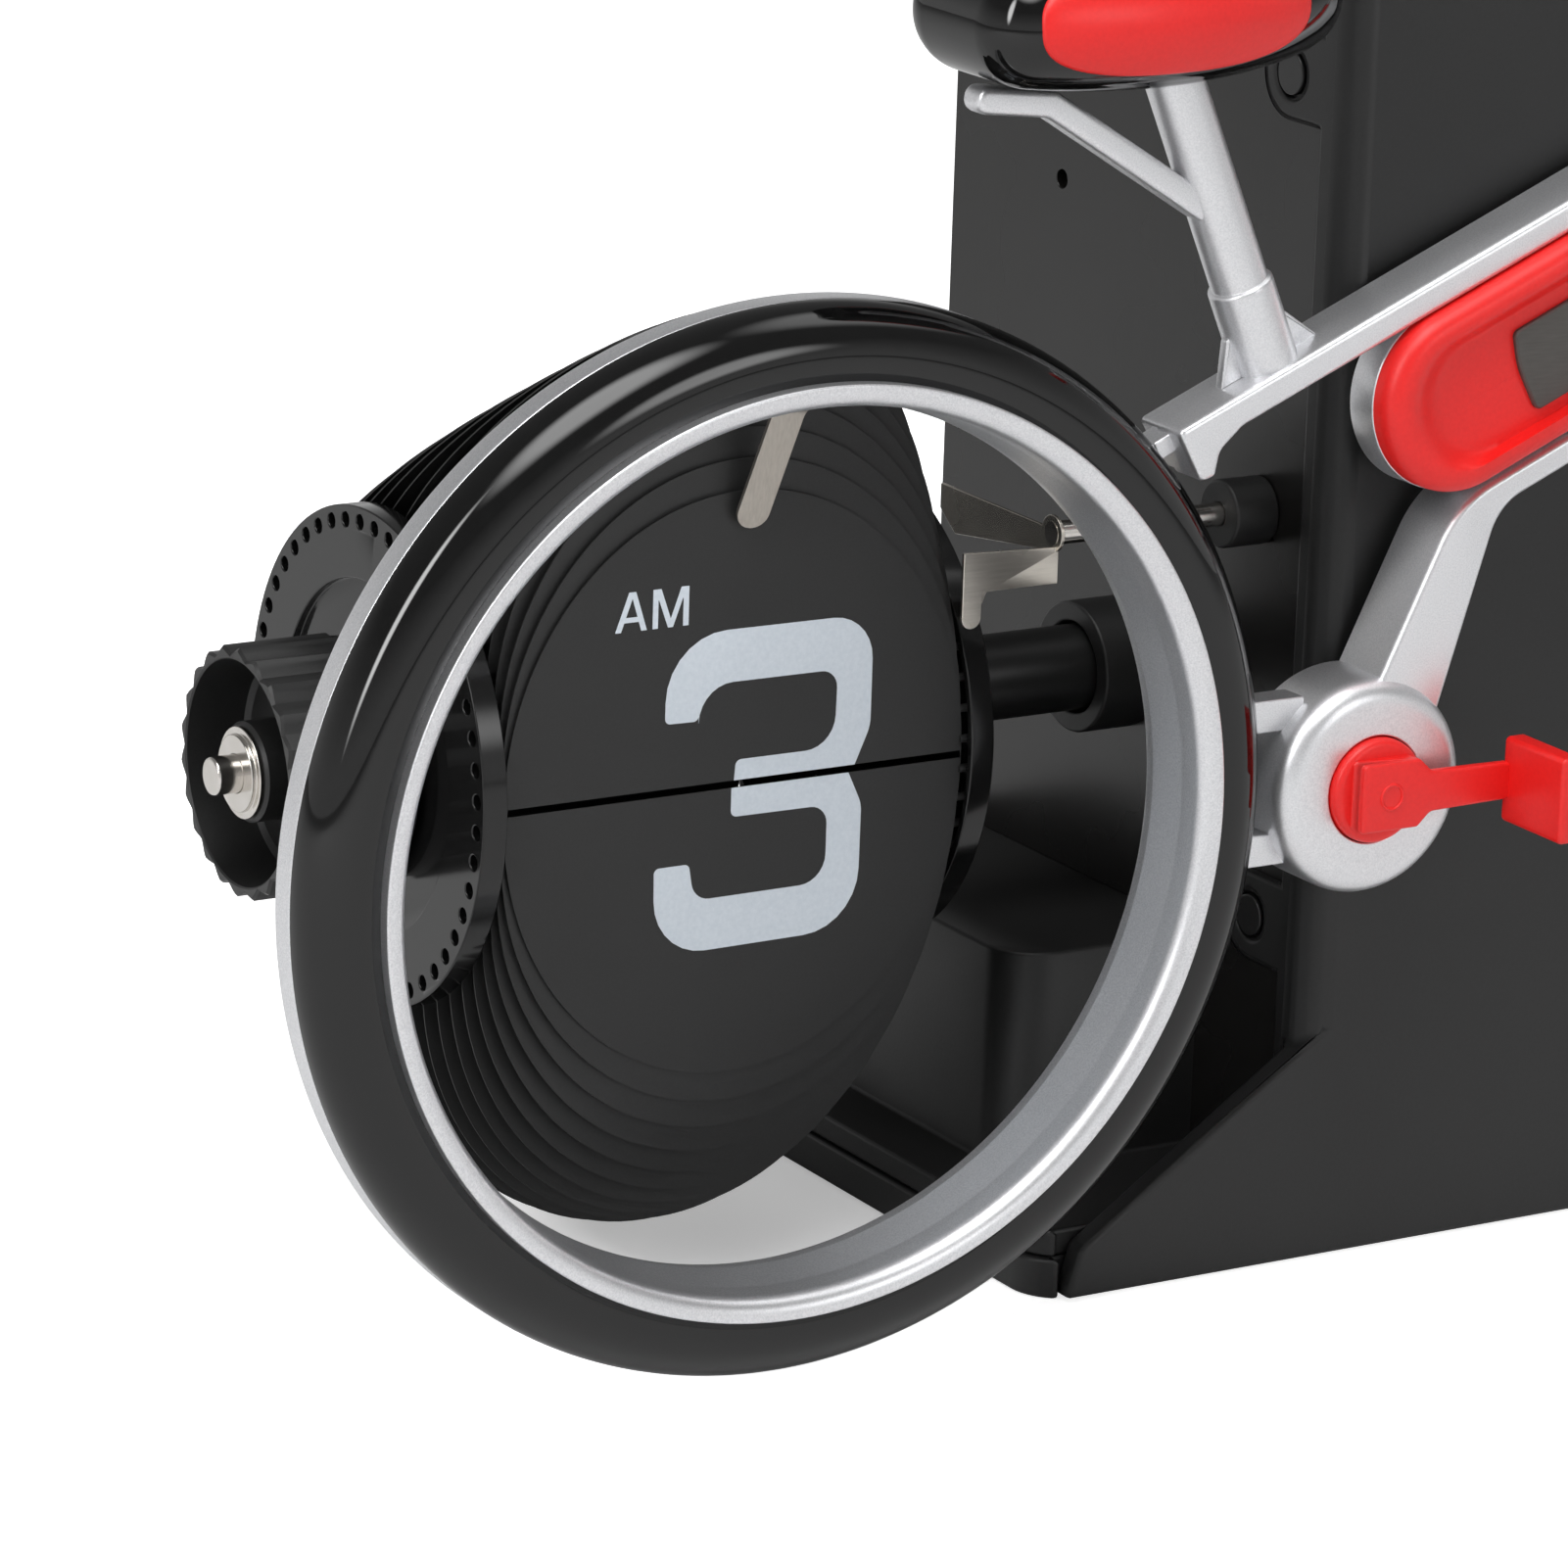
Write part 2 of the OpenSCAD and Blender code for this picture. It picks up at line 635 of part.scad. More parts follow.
// Drum parts, drawn in the drum frame of the hour side
module shaft() { rod_x(shaft_r, knob_end - shaft_out, wheel_x - 0.2); }
module sleeve() {
  difference() {
    rod_x(sleeve_r, disc_out + disc_recess, wall_x - boss_l + sleeve_in);
    rod_x(shaft_r + fit, disc_out, wall_x);
  }
}
module disc(leaves) {
  difference() {
    rod_x(disc_r, disc_out, disc_out + disc_t);
    rod_x(disc_recess_r, disc_out - 1, disc_out + disc_recess);
    rod_x(sleeve_r + fit, disc_out - 1, disc_out + disc_t + 1);
    difference() {
      rod_x(pin_ring + groove_half, disc_out + disc_t - pin_groove, disc_out + disc_t + 1);
      rod_x(pin_ring - groove_half, disc_out, disc_out + disc_t + 2);
    }
    for (i = [0 : leaves - 1]) rotate([(i + 0.5) * 360 / leaves, 0, 0]) translate([0, -pin_ring, 0])
      rod_x(pin_hole_r, disc_out - 1, disc_out + disc_t);
  }
}
module inner_disc(leaves) { translate([2 * drum_off, 0, 0]) mirror([1, 0, 0]) disc(leaves); }
module knob() {
  difference() {
    rod_x(knob_r, knob_end, disc_out);
    difference() {
      rod_x(knob_r - knob_wall, knob_end - 1, knob_end + knob_cup);
      rod_x(knob_hub_r, knob_end + 1, disc_out);
    }
    rod_x(shaft_r + fit, knob_end - 1, disc_out + 1);
    for (i = [0 : knob_flutes - 1]) rotate([i * 360 / knob_flutes, 0, 0])
      translate([0, knob_r + 0.4, 0]) rod_x(1.1, knob_end - 1, disc_out - 3);
  }
}
clip_t = 0.6;
module clip() {
  for (part = [[knob_hub_r - 0.5, knob_end + 1], [2 * shaft_r, knob_end + 1 - clip_t]])
    difference() {
      rod_x(part[0], part[1] - clip_t, part[1]);
      rod_x(shaft_r + fit, part[1] - 2, part[1] + 1);
    }
}
spigot_r = 6;
module bearing() {
  difference() {
    union() {
      rod_x(boss_r, wall_x - boss_l, wall_x);
      rod_x(spigot_r, wall_x - 1, wall_x + plate_t);
    }
    rod_x(sleeve_r + air, wall_x - boss_l - 1, wall_x - boss_l + sleeve_in + air);
    rod_x(shaft_r + run, wall_x - boss_l, wall_x + plate_t + 1);
  }
  translate([0, -rod_front, rod_up]) difference() {
    rod_x(rod_boss_r, wall_x - boss_l + 1.6, wall_x);
    rod_x(rod_r + fit, wall_x - boss_l, wall_x - 1);
  }
}
module guide_rod() { translate([0, -rod_front, rod_up]) rod_x(rod_r, spring_x - 1, wall_x - 1); }
spring_x = leaf_right + disc_t + 8.2;
finger_y = -pin_ring - leaf_t - 1.1;
finger_w = 2.7;
module edge_spring() {
  root = finger_y + sheet_t;
  arm_low = rod_up - 6;
  difference() {
    plate_yz(spring_x, spring_x + sheet_t) {
      polygon([[finger_y, arm_low], [root + 4, arm_low + 3.4], [root + 22, rod_up - 5], [root + 25.6, rod_up - 2.5],
        [root + 25.6, rod_up + 0.6], [-rod_front + 3, rod_up + 0.6], [-rod_front - 1, rod_up], [finger_y, rod_up - 1.5]]);
      translate([-rod_front, rod_up]) circle(r = rod_r + 0.9);
    }
    translate([0, -rod_front, rod_up]) rod_x(rod_r + fit, spring_x - 1, spring_x + 2);
  }
  plate_xz(finger_y, root) {
    polygon([[leaf_right - 1.4, rod_up - 1], [spring_x + sheet_t, rod_up - 1.5], [spring_x + sheet_t, arm_low],
      [leaf_right + 2, arm_low], [leaf_right - 1.4 + finger_w, arm_low - 1.5], [leaf_right - 1.4 + finger_w, arm_low - 3],
      [leaf_right - 1.4, arm_low - 3]]);
    translate([leaf_right - 1.4 + finger_w / 2, arm_low - 3]) circle(d = finger_w);
  }
}
tip_r = 32.6;
knee_r = 47;
spring_tab = 3;
flap_hw = 2.1;
blade_fall = 2.8;
module flap_spring() {
  y0 = finger_y + drum_back;
  foot = spring_screw_r - spring_tab;
  end = spring_screw_r + spring_tab;
  translate([0, -drum_back, 0]) rotate([0, flap_spring_tilt, 0]) difference() {
    plate_yz(-flap_hw, flap_hw) polygon([[y0, tip_r], [y0 + sheet_t, tip_r], [y0 + sheet_t - blade_fall, knee_r + sheet_t],
      [rim_d + sheet_t, foot + sheet_t], [rim_d + sheet_t, end], [rim_d, end], [rim_d, foot], [y0 - blade_fall, knee_r]]);
    translate([0, 0, spring_screw_r]) rod_y(shank_r * 0.7 + fit, 0, drum_back);
  }
}

// Leaves: pin line at the origin, upright in the XZ plane
module leaf(over, low) {
  tab = 0.12;
  translate([drum_off, 0, 0]) {
    intersection() {
      translate([0, 0, -over]) rod_y(leaf_r, -leaf_t / 2, leaf_t / 2);
      translate([leaf_side, 0, -over]) rod_y(leaf_hw + leaf_side, -leaf_t, leaf_t);
      translate([-leaf_side, 0, -over]) rod_y(leaf_hw + leaf_side, -leaf_t, leaf_t);
      box(-leaf_hw, leaf_hw, -leaf_t, leaf_t, -low, leaf_r);
    }
    box(-leaf_hw - tab, leaf_hw + tab, -leaf_t / 2, leaf_t / 2, 0, pin_r * 1.2);
    both_sides() rod_x(pin_r, leaf_hw + tab / 2, leaf_hw + disc_gap + pin_in);
  }
}
function lean(t, pitch) =
  t < 180 ? t + pitch / 2 - asin((leaf_t + leaf_gap) / (2 * pin_ring * sin(pitch / 2))) : 180;
module place_leaf(t, angle) {
  translate([0, -pin_ring * cos(t), pin_ring * sin(t)]) rotate([-angle, 0, 0]) children();
}
module leaf_pack(leaves, over) {
  pitch = 360 / leaves;
  for (i = [1 : leaves - 2]) place_leaf((i + 0.5) * pitch, lean((i + 0.5) * pitch, pitch)) leaf(over, 0);
}
module front_leaf(leaves, over) { place_leaf(180 / leaves, 0) leaf(over, over); }
module lower_leaf(leaves, over) { place_leaf(-180 / leaves, 180) leaf(over, over); }

module hour_shaft() { color(steel) hour_frame() shaft(); }
module hour_sleeve() { color(black) hour_frame() sleeve(); }
module hour_outer_disc() { color(black) hour_frame() disc(hour_leaves); }
module hour_inner_disc() { color(black) hour_frame() inner_disc(hour_leaves); }
module hour_knob() { color(black) hour_frame() knob(); }
module hour_clip() { color(steel) hour_frame() clip(); }
module hour_bearing() { color(black) hour_frame() bearing(); }
module hour_guide_rod() { color(steel) hour_frame() guide_rod(); }
module hour_edge_spring() { color(steel) hour_frame() edge_spring(); }
module hour_flap_spring() { color(steel) hour_frame() flap_spring(); }
module hour_leaf_pack() { color(black) hour_frame() leaf_pack(hour_leaves, overhang_hour); }
module hour_front_leaf() { color(black) hour_frame() front_leaf(hour_leaves, overhang_hour); }
module hour_lower_leaf() { color(black) hour_frame() lower_leaf(hour_leaves, overhang_hour); }
module minute_shaft() { color(steel) minute_frame() shaft(); }
module minute_sleeve() { color(black) minute_frame() sleeve(); }
module minute_outer_disc() { color(black) minute_frame() disc(minute_leaves); }
module minute_inner_disc() { color(black) minute_frame() inner_disc(minute_leaves); }
module minute_knob() { color(black) minute_frame() knob(); }
module minute_clip() { color(steel) minute_frame() clip(); }
module minute_bearing() { color(black) minute_frame() bearing(); }
module minute_guide_rod() { color(steel) minute_frame() guide_rod(); }
module minute_edge_spring() { color(steel) minute_frame() edge_spring(); }
module minute_flap_spring() { color(steel) minute_frame() flap_spring(); }
module minute_leaf_pack() { color(black) minute_frame() leaf_pack(minute_leaves, overhang_minute); }
module minute_front_leaf() { color(black) minute_frame() front_leaf(minute_leaves, overhang_minute); }
module minute_lower_leaf() { color(black) minute_frame() lower_leaf(minute_leaves, overhang_minute); }

// Wheels
module rim() {
  throat = lip_r - throat_in;
  about_y() rotate_extrude($fn = 120) polygon([
    [lip_r - lip_w, 0], [lip_r, 0], [lip_r, tyre_d], [wheel_r, tyre_d], [wheel_r, rim_d],
    [throat, rim_d], [throat, rim_d - 1.2], [lip_r - 2.5, tyre_d / 2]]);
}
module tyre() {
  intersection() {
    translate([0, tyre_d, 0]) about_y() rotate_extrude($fn = 120)
      translate([wheel_r - tyre_round, 0]) circle(r = tyre_round);
    difference() {
      rod_y(wheel_r + 1, 0, tyre_d);
      rod_y(lip_r + fit, -1, tyre_d + 1);
    }
  }
}
module spring_hole() {
  rotate([0, flap_spring_tilt, 0]) translate([0, 0, spring_screw_r]) rod_y(shank_r * 0.7 + fit, rim_d - 2.2, rim_d + 1);
}
module rim_with_hole() {
  difference() {
    rim();
    spring_hole();
  }
}
module rear_rim() { color(silver) wheel_frame() rim_with_hole(); }
module rear_tyre() { color(gloss) wheel_frame() tyre(); }
module front_rim() { color(silver) mirror([1, 0, 0]) wheel_frame() rim_with_hole(); }
module front_tyre() { color(gloss) mirror([1, 0, 0]) wheel_frame() tyre(); }

// Bicycle frame, drawn in the wheel frame
elbow_top = -3.9;
elbow_low = 1.5;
tube_in = 7;
tube_top_n = cover_n - cover_r - 1.1;
tube_low_n = tube_top_n - tube_end_w;
tube_foot = 9;
tube_foot_fall = 1.9;
tube_foot_left = 0.8;
module on_beam() { translate([beam_u, 0, beam_w]) rotate([0, -beam_pitch, 0]) children(); }
module on_head() { translate([head_u, frame_mid, head_w]) rotate([0, -head_tilt, 0]) children(); }
module on_bracket() { translate([bracket_u, 0, -bracket_drop]) children(); }
bracket_y = 3.2;
bracket_bevel = 3.1;
hub_back = 8.2;
axle_r = 2;
module stadium(r, l) {
  strip([0, 0], [l, 0], 2 * r);
}
module frame() {
  color(silver) wheel_frame() difference() {
    union() {
      on_beam() {
        plate_xz(frame_y, frame_back) {
          translate([0, -beam_t]) square([beam_l, beam_t]);
          polygon([[0, 0], [0.7, -7.3], [2.7, -7.5], [4.2, -5.6], [6.6, -4.2], [10.4, -beam_t], [10.4, 0]]);
        }
        plate_xz(cover_back, bed_back) translate([cover_s, cover_n]) stadium(cover_r + cover_room, cover_l);
      }
      plate_xz(frame_y, frame_back) {
        polygon([
          [bracket_u - tube_foot_left, tube_foot - bracket_drop],
          [bracket_u - tube_foot_left + tube_w, tube_foot - bracket_drop - tube_foot_fall],
          on_slope(cover_s + elbow_low, tube_low_n), on_slope(beam_l - tube_in, tube_low_n),
          on_slope(beam_l - tube_in, tube_top_n), on_slope(cover_s + elbow_top, tube_top_n)]);
      }
      on_bracket() about_y() rotate_extrude() polygon([
        [0, bracket_y], [bracket_r - bracket_bevel, bracket_y], [bracket_r, bracket_y + bracket_bevel],
        [bracket_r, frame_back], [0, frame_back]]);
      on_head() translate([0, 0, -head_l / 2]) cylinder(r = head_r, h = head_l);
      for (p = frame_posts) translate([p[0], 0, p[1]]) rod_y(frame_post_r, bed_back - 1, case_y);
      plate_xz(tyre_d, rim_d) {
        for (w = [7.5, -9]) strip([wheel_r - 2, w], [bracket_u - 4, w], stub_h);
        strip((wheel_r - 2) * [cos(beam_start - 2), sin(beam_start - 2)], on_slope(3, -3), stub_h);
      }
    }
    rod_y(wheel_r + fit, 0, frame_back + 1);
    on_head() translate([0, 0, -head_l]) cylinder(r = steerer_r + run, h = 2 * head_l);
    on_bracket() {
      rod_y(hub_r + run, 0, hub_back + air);
      rod_y(axle_r + run, 0, frame_back + 1);
    }
    for (p = frame_posts) translate([p[0], 0, p[1]]) rod_y(shank_r + fit, frame_back - 2, case_y + 1);
  }
}
pocket_r = 7;
pocket_in = 4.4;
pocket_low = 1.3;
pocket_floor = cover_back - 1.2;
module frame_cover() {
  color(red) wheel_frame() on_beam() difference() {
    plate_xz(cover_front, cover_back) translate([cover_s, cover_n]) stadium(cover_r, cover_l);
    plate_xz(cover_front - 1, pocket_floor) translate([cover_s + pocket_in, cover_n - pocket_low])
      stadium(pocket_r, cover_l - 2 * pocket_in);
  }
}
inset_start = 9;
inset_end = 5;
inset_t = 0.8;
inset_h = 10.6;
inset_low = 6.7;
module cover_plate() {
  color("#565350") wheel_frame() on_beam() translate([cover_s, 0, cover_n])
    box(inset_start, cover_l - inset_end, pocket_floor - inset_t, pocket_floor, -inset_low, inset_h - inset_low);
}
post_s = 16;
post_in = 4;
rail_h = 3.6;
rail_hd = 2;
rail_back = 27.2;
rail_rise = 40.1;
rail_tip = 10;
rail_fall = 1.1;
rail_join = 18.8;
module seat_post() {
  tip = [beam_u - rail_back, beam_w + rail_rise];
  color(silver) wheel_frame() {
    on_beam() translate([post_s, frame_mid, 0]) {
      cylinder(r = post_r, h = post_l + post_in);
      cylinder(r = collar_r, h = collar_l);
    }
    plate_xz(frame_mid - rail_hd, frame_mid + rail_hd)
      bent_strip(tip, tip + [rail_tip, -rail_fall], on_slope(post_s, rail_join), rail_h);
  }
}
saddle_end = on_slope(post_s, post_l);
saddle_over = 23.75;
saddle_rise = 9;
saddle_u = saddle_end[0] - saddle_over;
saddle_w = saddle_end[1] + saddle_rise;
saddle_half = 5.5;
waist_r = saddle_r + 0.95;
waist_s = 22.2;
waist_half = 5;
waist_rise = 0.2;
nose_rise = 0.3;
saddle_wall = 1.2;
module saddle_form(grow) {
  hull() {
    for (side = [-1, 1]) translate([saddle_u, frame_mid + side * saddle_half, saddle_w])
      sphere(r = saddle_r + grow, $fn = 28);
    for (side = [-1, 1]) translate([saddle_u + waist_s, frame_mid + side * waist_half, saddle_w + waist_rise])
      sphere(r = waist_r + grow, $fn = 28);
    translate([saddle_u + saddle_l, frame_mid, saddle_w + nose_rise]) sphere(r = nose_r + grow, $fn = 28);
  }
}
panel_l = 26.5;
panel_r = 5.5;
panel_depth = 30;
panel_in = 3.5;
panel_out = 0.3;
module panel_prism(grow) {
  for (y = [frame_mid - panel_in - panel_depth, frame_mid + panel_in]) translate([0, y, 0]) plate_xz(0, panel_depth)
    translate([saddle_u + panel_in, saddle_w]) stadium(panel_r + grow, panel_l);
}
module saddle_shell() {
  color(gloss) wheel_frame() difference() {
    saddle_form(0);
    difference() {
      panel_prism(panel_out / 2);
      saddle_form(-saddle_wall);
    }
    on_beam() translate([post_s, frame_mid, post_l - 6]) cylinder(r = post_r + fit, h = post_in + 6.2);
  }
}
module saddle_panels() {
  color(red) wheel_frame() difference() {
    intersection() {
      saddle_form(panel_out);
      panel_prism(0);
    }
    saddle_form(0.1 - saddle_wall);
  }
}
module crank() {
  arm_back = 1;
  arm_t = 1.4;
  pedal_w = 3;
  pedal_out = 0.7;
  boss = 4.2;
  hub_front = 2;
  color(red) wheel_frame() on_bracket() {
    rod_y(hub_r, hub_front, hub_back);
    box(-boss, boss, arm_back - arm_t, hub_front + 0.5, -boss, boss);
    rod_y(axle_r, hub_back - 1, frame_back - air);
    plate_xz(arm_back - arm_t, arm_back) strip([0, 0], [crank_l - 1, 0], crank_h);
    box(crank_l - 1, crank_l - 1 + pedal_w, arm_back - pedal_l, arm_back, -crank_h - pedal_out, crank_h + pedal_out);
  }
}
crown = 3;
module fork() {
  low = -head_l / 2 - crown - fork_l;
  color(silver) wheel_frame() difference() {
    union() {
      on_head() {
        translate([0, 0, -head_l / 2 - 1]) cylinder(r = steerer_r, h = head_l + 5);
        translate([0, 0, -head_l / 2 - crown]) cylinder(r = head_r, h = crown - 0.3);
        translate([0, 0, low]) cylinder(r = fork_r, h = fork_l + 1);
      }
      plate_xz(tyre_d, rim_d) strip(fork_end, fork_end + fork_reach * fork_dir, stub_h);
    }
    translate([2 * wheel_x, 0, 0]) rod_y(wheel_r + fit, 0, frame_back + 4);
  }
}
fork_drop = head_l / 2 + crown + fork_l - 2;
fork_end = [head_u + fork_drop * sin(head_tilt), head_w - fork_drop * cos(head_tilt)];
fork_to = [2 * wheel_x, 0] - fork_end;
fork_dir = fork_to / norm(fork_to);
fork_reach = norm(fork_to) - wheel_r + 2;
stem_l = 14;
stem_r = 4.8;
clamp_l = 14;
socket_l = 4.2;
stem_up = head_l / 2 + clamp_l - 2;
module handlebar() {
  color(silver) wheel_frame() on_head() difference() {
    union() {
      translate([0, 0, head_l / 2 + 0.3]) cylinder(r = stem_r, h = clamp_l);
      translate([0, 0, stem_up]) rod_x(bar_r + 0.6, 0, stem_l);
      translate([stem_l, 0, stem_up]) {
        rod_y(bar_r, -bar_hw, bar_hw);
        rod_y(bar_r + 1.8, -4, 4);
      }
    }
    translate([0, 0, head_l / 2 - 1]) cylinder(r = steerer_r + fit, h = socket_l + 1);
  }
}
module grips() {
  color(red) wheel_frame() on_head() translate([stem_l, 0, stem_up]) for (turned = [0, 180]) rotate([0, 0, turned])
    difference() {
      rod_y(bar_r + grip_wall, bar_hw - grip_l, bar_hw + grip_wall);
      rod_y(bar_r + fit, 0, bar_hw);
    }
}

base_plate();
base_pads();
base_housing();
battery_tray();
battery_cells();
battery_door();
front_housing();
rear_cover();
side_plate_left();
side_plate_right();
screws();
gear_chassis();
drive_motor();
motor_pinion();
circuit_board();
counter_shaft();
counter_gear();
hour_shaft();
hour_gear();
hour_sleeve();
hour_outer_disc();
hour_inner_disc();
hour_knob();
hour_clip();
hour_bearing();
hour_guide_rod();
hour_edge_spring();
hour_flap_spring();
hour_leaf_pack();
hour_front_leaf();
hour_lower_leaf();
minute_shaft();
minute_gear();
minute_sleeve();
minute_outer_disc();
minute_inner_disc();
minute_knob();
minute_clip();
minute_bearing();
minute_guide_rod();
minute_edge_spring();
minute_flap_spring();
minute_leaf_pack();
minute_front_leaf();
minute_lower_leaf();
rear_rim();
rear_tyre();
front_rim();
front_tyre();
frame();
frame_cover();
cover_plate();
seat_post();
saddle_shell();
saddle_panels();
crank();
fork();
handlebar();
grips();
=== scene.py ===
"""Looks of a flip clock in the form of a bicycle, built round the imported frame."""

import json
import math

import bmesh
import bpy
import numpy as np
from mathutils import Matrix, Vector

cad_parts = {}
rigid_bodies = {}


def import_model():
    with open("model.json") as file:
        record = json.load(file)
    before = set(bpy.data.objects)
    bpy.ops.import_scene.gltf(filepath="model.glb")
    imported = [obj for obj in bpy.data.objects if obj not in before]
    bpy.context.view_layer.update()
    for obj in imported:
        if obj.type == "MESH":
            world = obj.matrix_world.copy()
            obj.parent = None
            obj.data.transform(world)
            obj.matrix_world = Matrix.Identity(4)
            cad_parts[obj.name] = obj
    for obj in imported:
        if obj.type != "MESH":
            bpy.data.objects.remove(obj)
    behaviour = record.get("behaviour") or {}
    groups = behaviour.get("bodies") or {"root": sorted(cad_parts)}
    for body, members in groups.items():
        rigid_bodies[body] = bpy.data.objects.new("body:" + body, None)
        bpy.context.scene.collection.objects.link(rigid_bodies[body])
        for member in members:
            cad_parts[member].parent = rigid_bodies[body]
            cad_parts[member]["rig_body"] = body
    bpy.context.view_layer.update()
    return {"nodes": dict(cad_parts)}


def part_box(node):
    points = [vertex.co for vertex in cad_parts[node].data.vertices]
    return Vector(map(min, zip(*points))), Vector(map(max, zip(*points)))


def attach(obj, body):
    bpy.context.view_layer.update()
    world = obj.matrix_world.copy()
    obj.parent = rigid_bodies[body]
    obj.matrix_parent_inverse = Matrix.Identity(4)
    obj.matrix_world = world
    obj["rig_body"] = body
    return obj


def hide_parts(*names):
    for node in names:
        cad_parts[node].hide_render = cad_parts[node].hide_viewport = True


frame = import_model()

# Sizes in millimetres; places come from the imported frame
MM = 0.001
rim_low, rim_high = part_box("rear_rim")
disc_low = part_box("hour_outer_disc")[0]
knob_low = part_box("hour_knob")[0]
case_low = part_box("front_housing")[0]
WHEEL_X = -(rim_low.x + rim_high.x) / 2 / MM
WHEEL_Z = (rim_low.z + rim_high.z) / 2 / MM
WHEEL_R = (rim_high.x - rim_low.x) / 2 / MM
LIP_Y = rim_low.y / MM
RIM_D = (rim_high.y - rim_low.y) / MM
DISC_OUT = disc_low.x / MM + WHEEL_X
CASE_FRONT = case_low.y / MM - LIP_Y
# Wheels: height of the tyre over the lip, width and roll of the lip, the tyre's place and round
TYRE_OVER = 8.3
LIP_R = WHEEL_R - TYRE_OVER
LIP_W = 2.7
LIP_ROLL = 2.2
TYRE_D = 7.3
TYRE_ROUND = 6.0
# Leaves: middle, half width, height, thickness, air, step between pressed tips, droop
LEAF_MID = 7.3
LEAF_HW = 31.0
LEAF_R = 34.9
LEAF_T = 0.2
LEAF_GAP = 0.07
LEAF_STEP = 0.6
LEAF_DROOP = 2.6
# Leaf pins: radius of their ring, own radius, length in the leaf and beside it
PIN_RING = 28.2
PIN_R = 0.5
PIN_IN = 0.3
PIN_OUT = 1.4
# Gap between the upper and the lower leaf
SPLIT = 0.9
# Frame: half depth, middle, front and back of its tubes, and the back of the cover's bed
FRAME_HALF = 4.6
FRAME_MID = (TYRE_D + RIM_D) / 2
FRAME_FRONT = FRAME_MID - FRAME_HALF
FRAME_BACK = FRAME_MID + FRAME_HALF
BED_BACK = 10.8
# Knobs: outer end, radius, inner wall, depth of the cup, its hub and bore, and the ridges
KNOB_END = knob_low.x / MM + WHEEL_X
KNOB_R = 15.1
KNOB_WALL = 13.5
KNOB_CUP = 8.0
KNOB_HUB = 6.0
KNOB_HUB_TOP = 1.0
KNOB_BORE = 2.4
RIDGES = 22
RIDGE_D = 0.95
# Top tube: its start at the wheel, its thickness and its rise in degrees
BEAM_REACH = WHEEL_R + 2.8
BEAM_AT = math.radians(41.8)
BEAM_U = BEAM_REACH * math.cos(BEAM_AT)
BEAM_W = BEAM_REACH * math.sin(BEAM_AT)
BEAM_T = 3.7
BEAM_RISE = 23
# Bottom bracket, the stubs and neck to the wheel, the posts to the case and the crank's hub
BRACKET = (WHEEL_X - 45.2, -1.9)
BRACKET_R = 13.3
BRACKET_FRONT = 3.2
BRACKET_FLOOR = 8.5
BRACKET_BORE = 2.2
STUB_LEVELS = (7.5, -9.0)
STUB_END = BRACKET[0] - 8
STUB_HALF = 2
STUB_ROUND = 0.35
NECK_AT = math.radians(40.6)
CASE_POST_R = 3
HUB_R = 6.6
# Crank: hub disc, square boss, bead round the axle, arm, pedal plate and axle; depths grow to the back
CRANK_R = 6.45
CRANK_FRONT = 2.0
CRANK_BACK = 8.2
BOSS_HALF = 4.2
BOSS_ROUND = 0.6
BEAD_RING = 1.5
BEAD_R = 0.22
ARM_FRONT = -0.4
ARM_BACK = 1.0
ARM_L = 17.2
ARM_HALF = 2.3
PEDAL_IN = 17.0
PEDAL_OUT = 20.0
PEDAL_HALF = 5.3
PEDAL_FRONT = -11.0
AXLE_R = 2
AXLE_FRONT = 7.2
# Head tube: radius, lean in degrees, half length and place; the top tube ends at it
HEAD_R = 5.5
HEAD_BORE = 3.1
HEAD_LEAN = 18
HEAD_HALF = 23
HEAD_BACK = 76
HEAD_DROP = 16
HEAD_U = 2 * WHEEL_X - HEAD_BACK
HEAD_W = BEAM_W + (HEAD_U - BEAM_U) * math.tan(math.radians(BEAM_RISE)) - HEAD_DROP
BEAM_L = (HEAD_U - BEAM_U) / math.cos(math.radians(BEAM_RISE))
# Red cover: S along the top tube's slope, N across it, then its depths
COVER_S = 36.5
COVER_L = 60.0
COVER_R = 11.2
COVER_AIR = 0.1
COVER_N = -BEAM_T - COVER_R - COVER_AIR
COVER_BACK = 6.0
COVER_FACE = 2.4
COVER_ROUND = 2.4
COVER_FALL = 2.2
COVER_FLOOR = 4.8
POCKET_IN = 4.4
POCKET_DROP = 1.3
POCKET_R = 7.0
INSET_START = COVER_S + 9.0
INSET_END = COVER_S + COVER_L - 5
INSET_TOP = -11.1
INSET_LOW = -21.7
# Down tube below the cover
TUBE_AIR = 1.1
TUBE_T = 3.4
TUBE_TOP = COVER_N - COVER_R - TUBE_AIR
TUBE_LOW = TUBE_TOP - TUBE_T
# Seat post with its collar, gussets and rail
POST_S = 16.0
POST_R = 3.45
POST_TOP = 41
COLLAR_R = 3.95
COLLAR_TOP = 10.4
GUSSET_HALF = 0.7
RAIL_TIP = np.array([BEAM_U - 27.2, BEAM_W + 40.1])
RAIL_JOIN = 18.8
RAIL_T = 3.2
RAIL_HALF = 2
# Saddle: stations along it, with end radius, half straight width and height at each
SADDLE_U = (25.88, 48.08, 63.88)
SADDLE_R = (7.2, 8.15, 7.0)
SADDLE_HALF = (5.5, 5.0, 0.0)
SADDLE_W = (93.19, 93.39, 93.49)
SADDLE_POINTS = 96
SEAM_D = 0.012
SEAM_AT = -0.86
SEAM_W = 0.03
# Saddle side panels: superellipses on the saddle's sides
PANEL_AT = (42.6, 94.0)
PANEL_HALF = (19.2, 6.3)
PANEL_POWER = 0.74
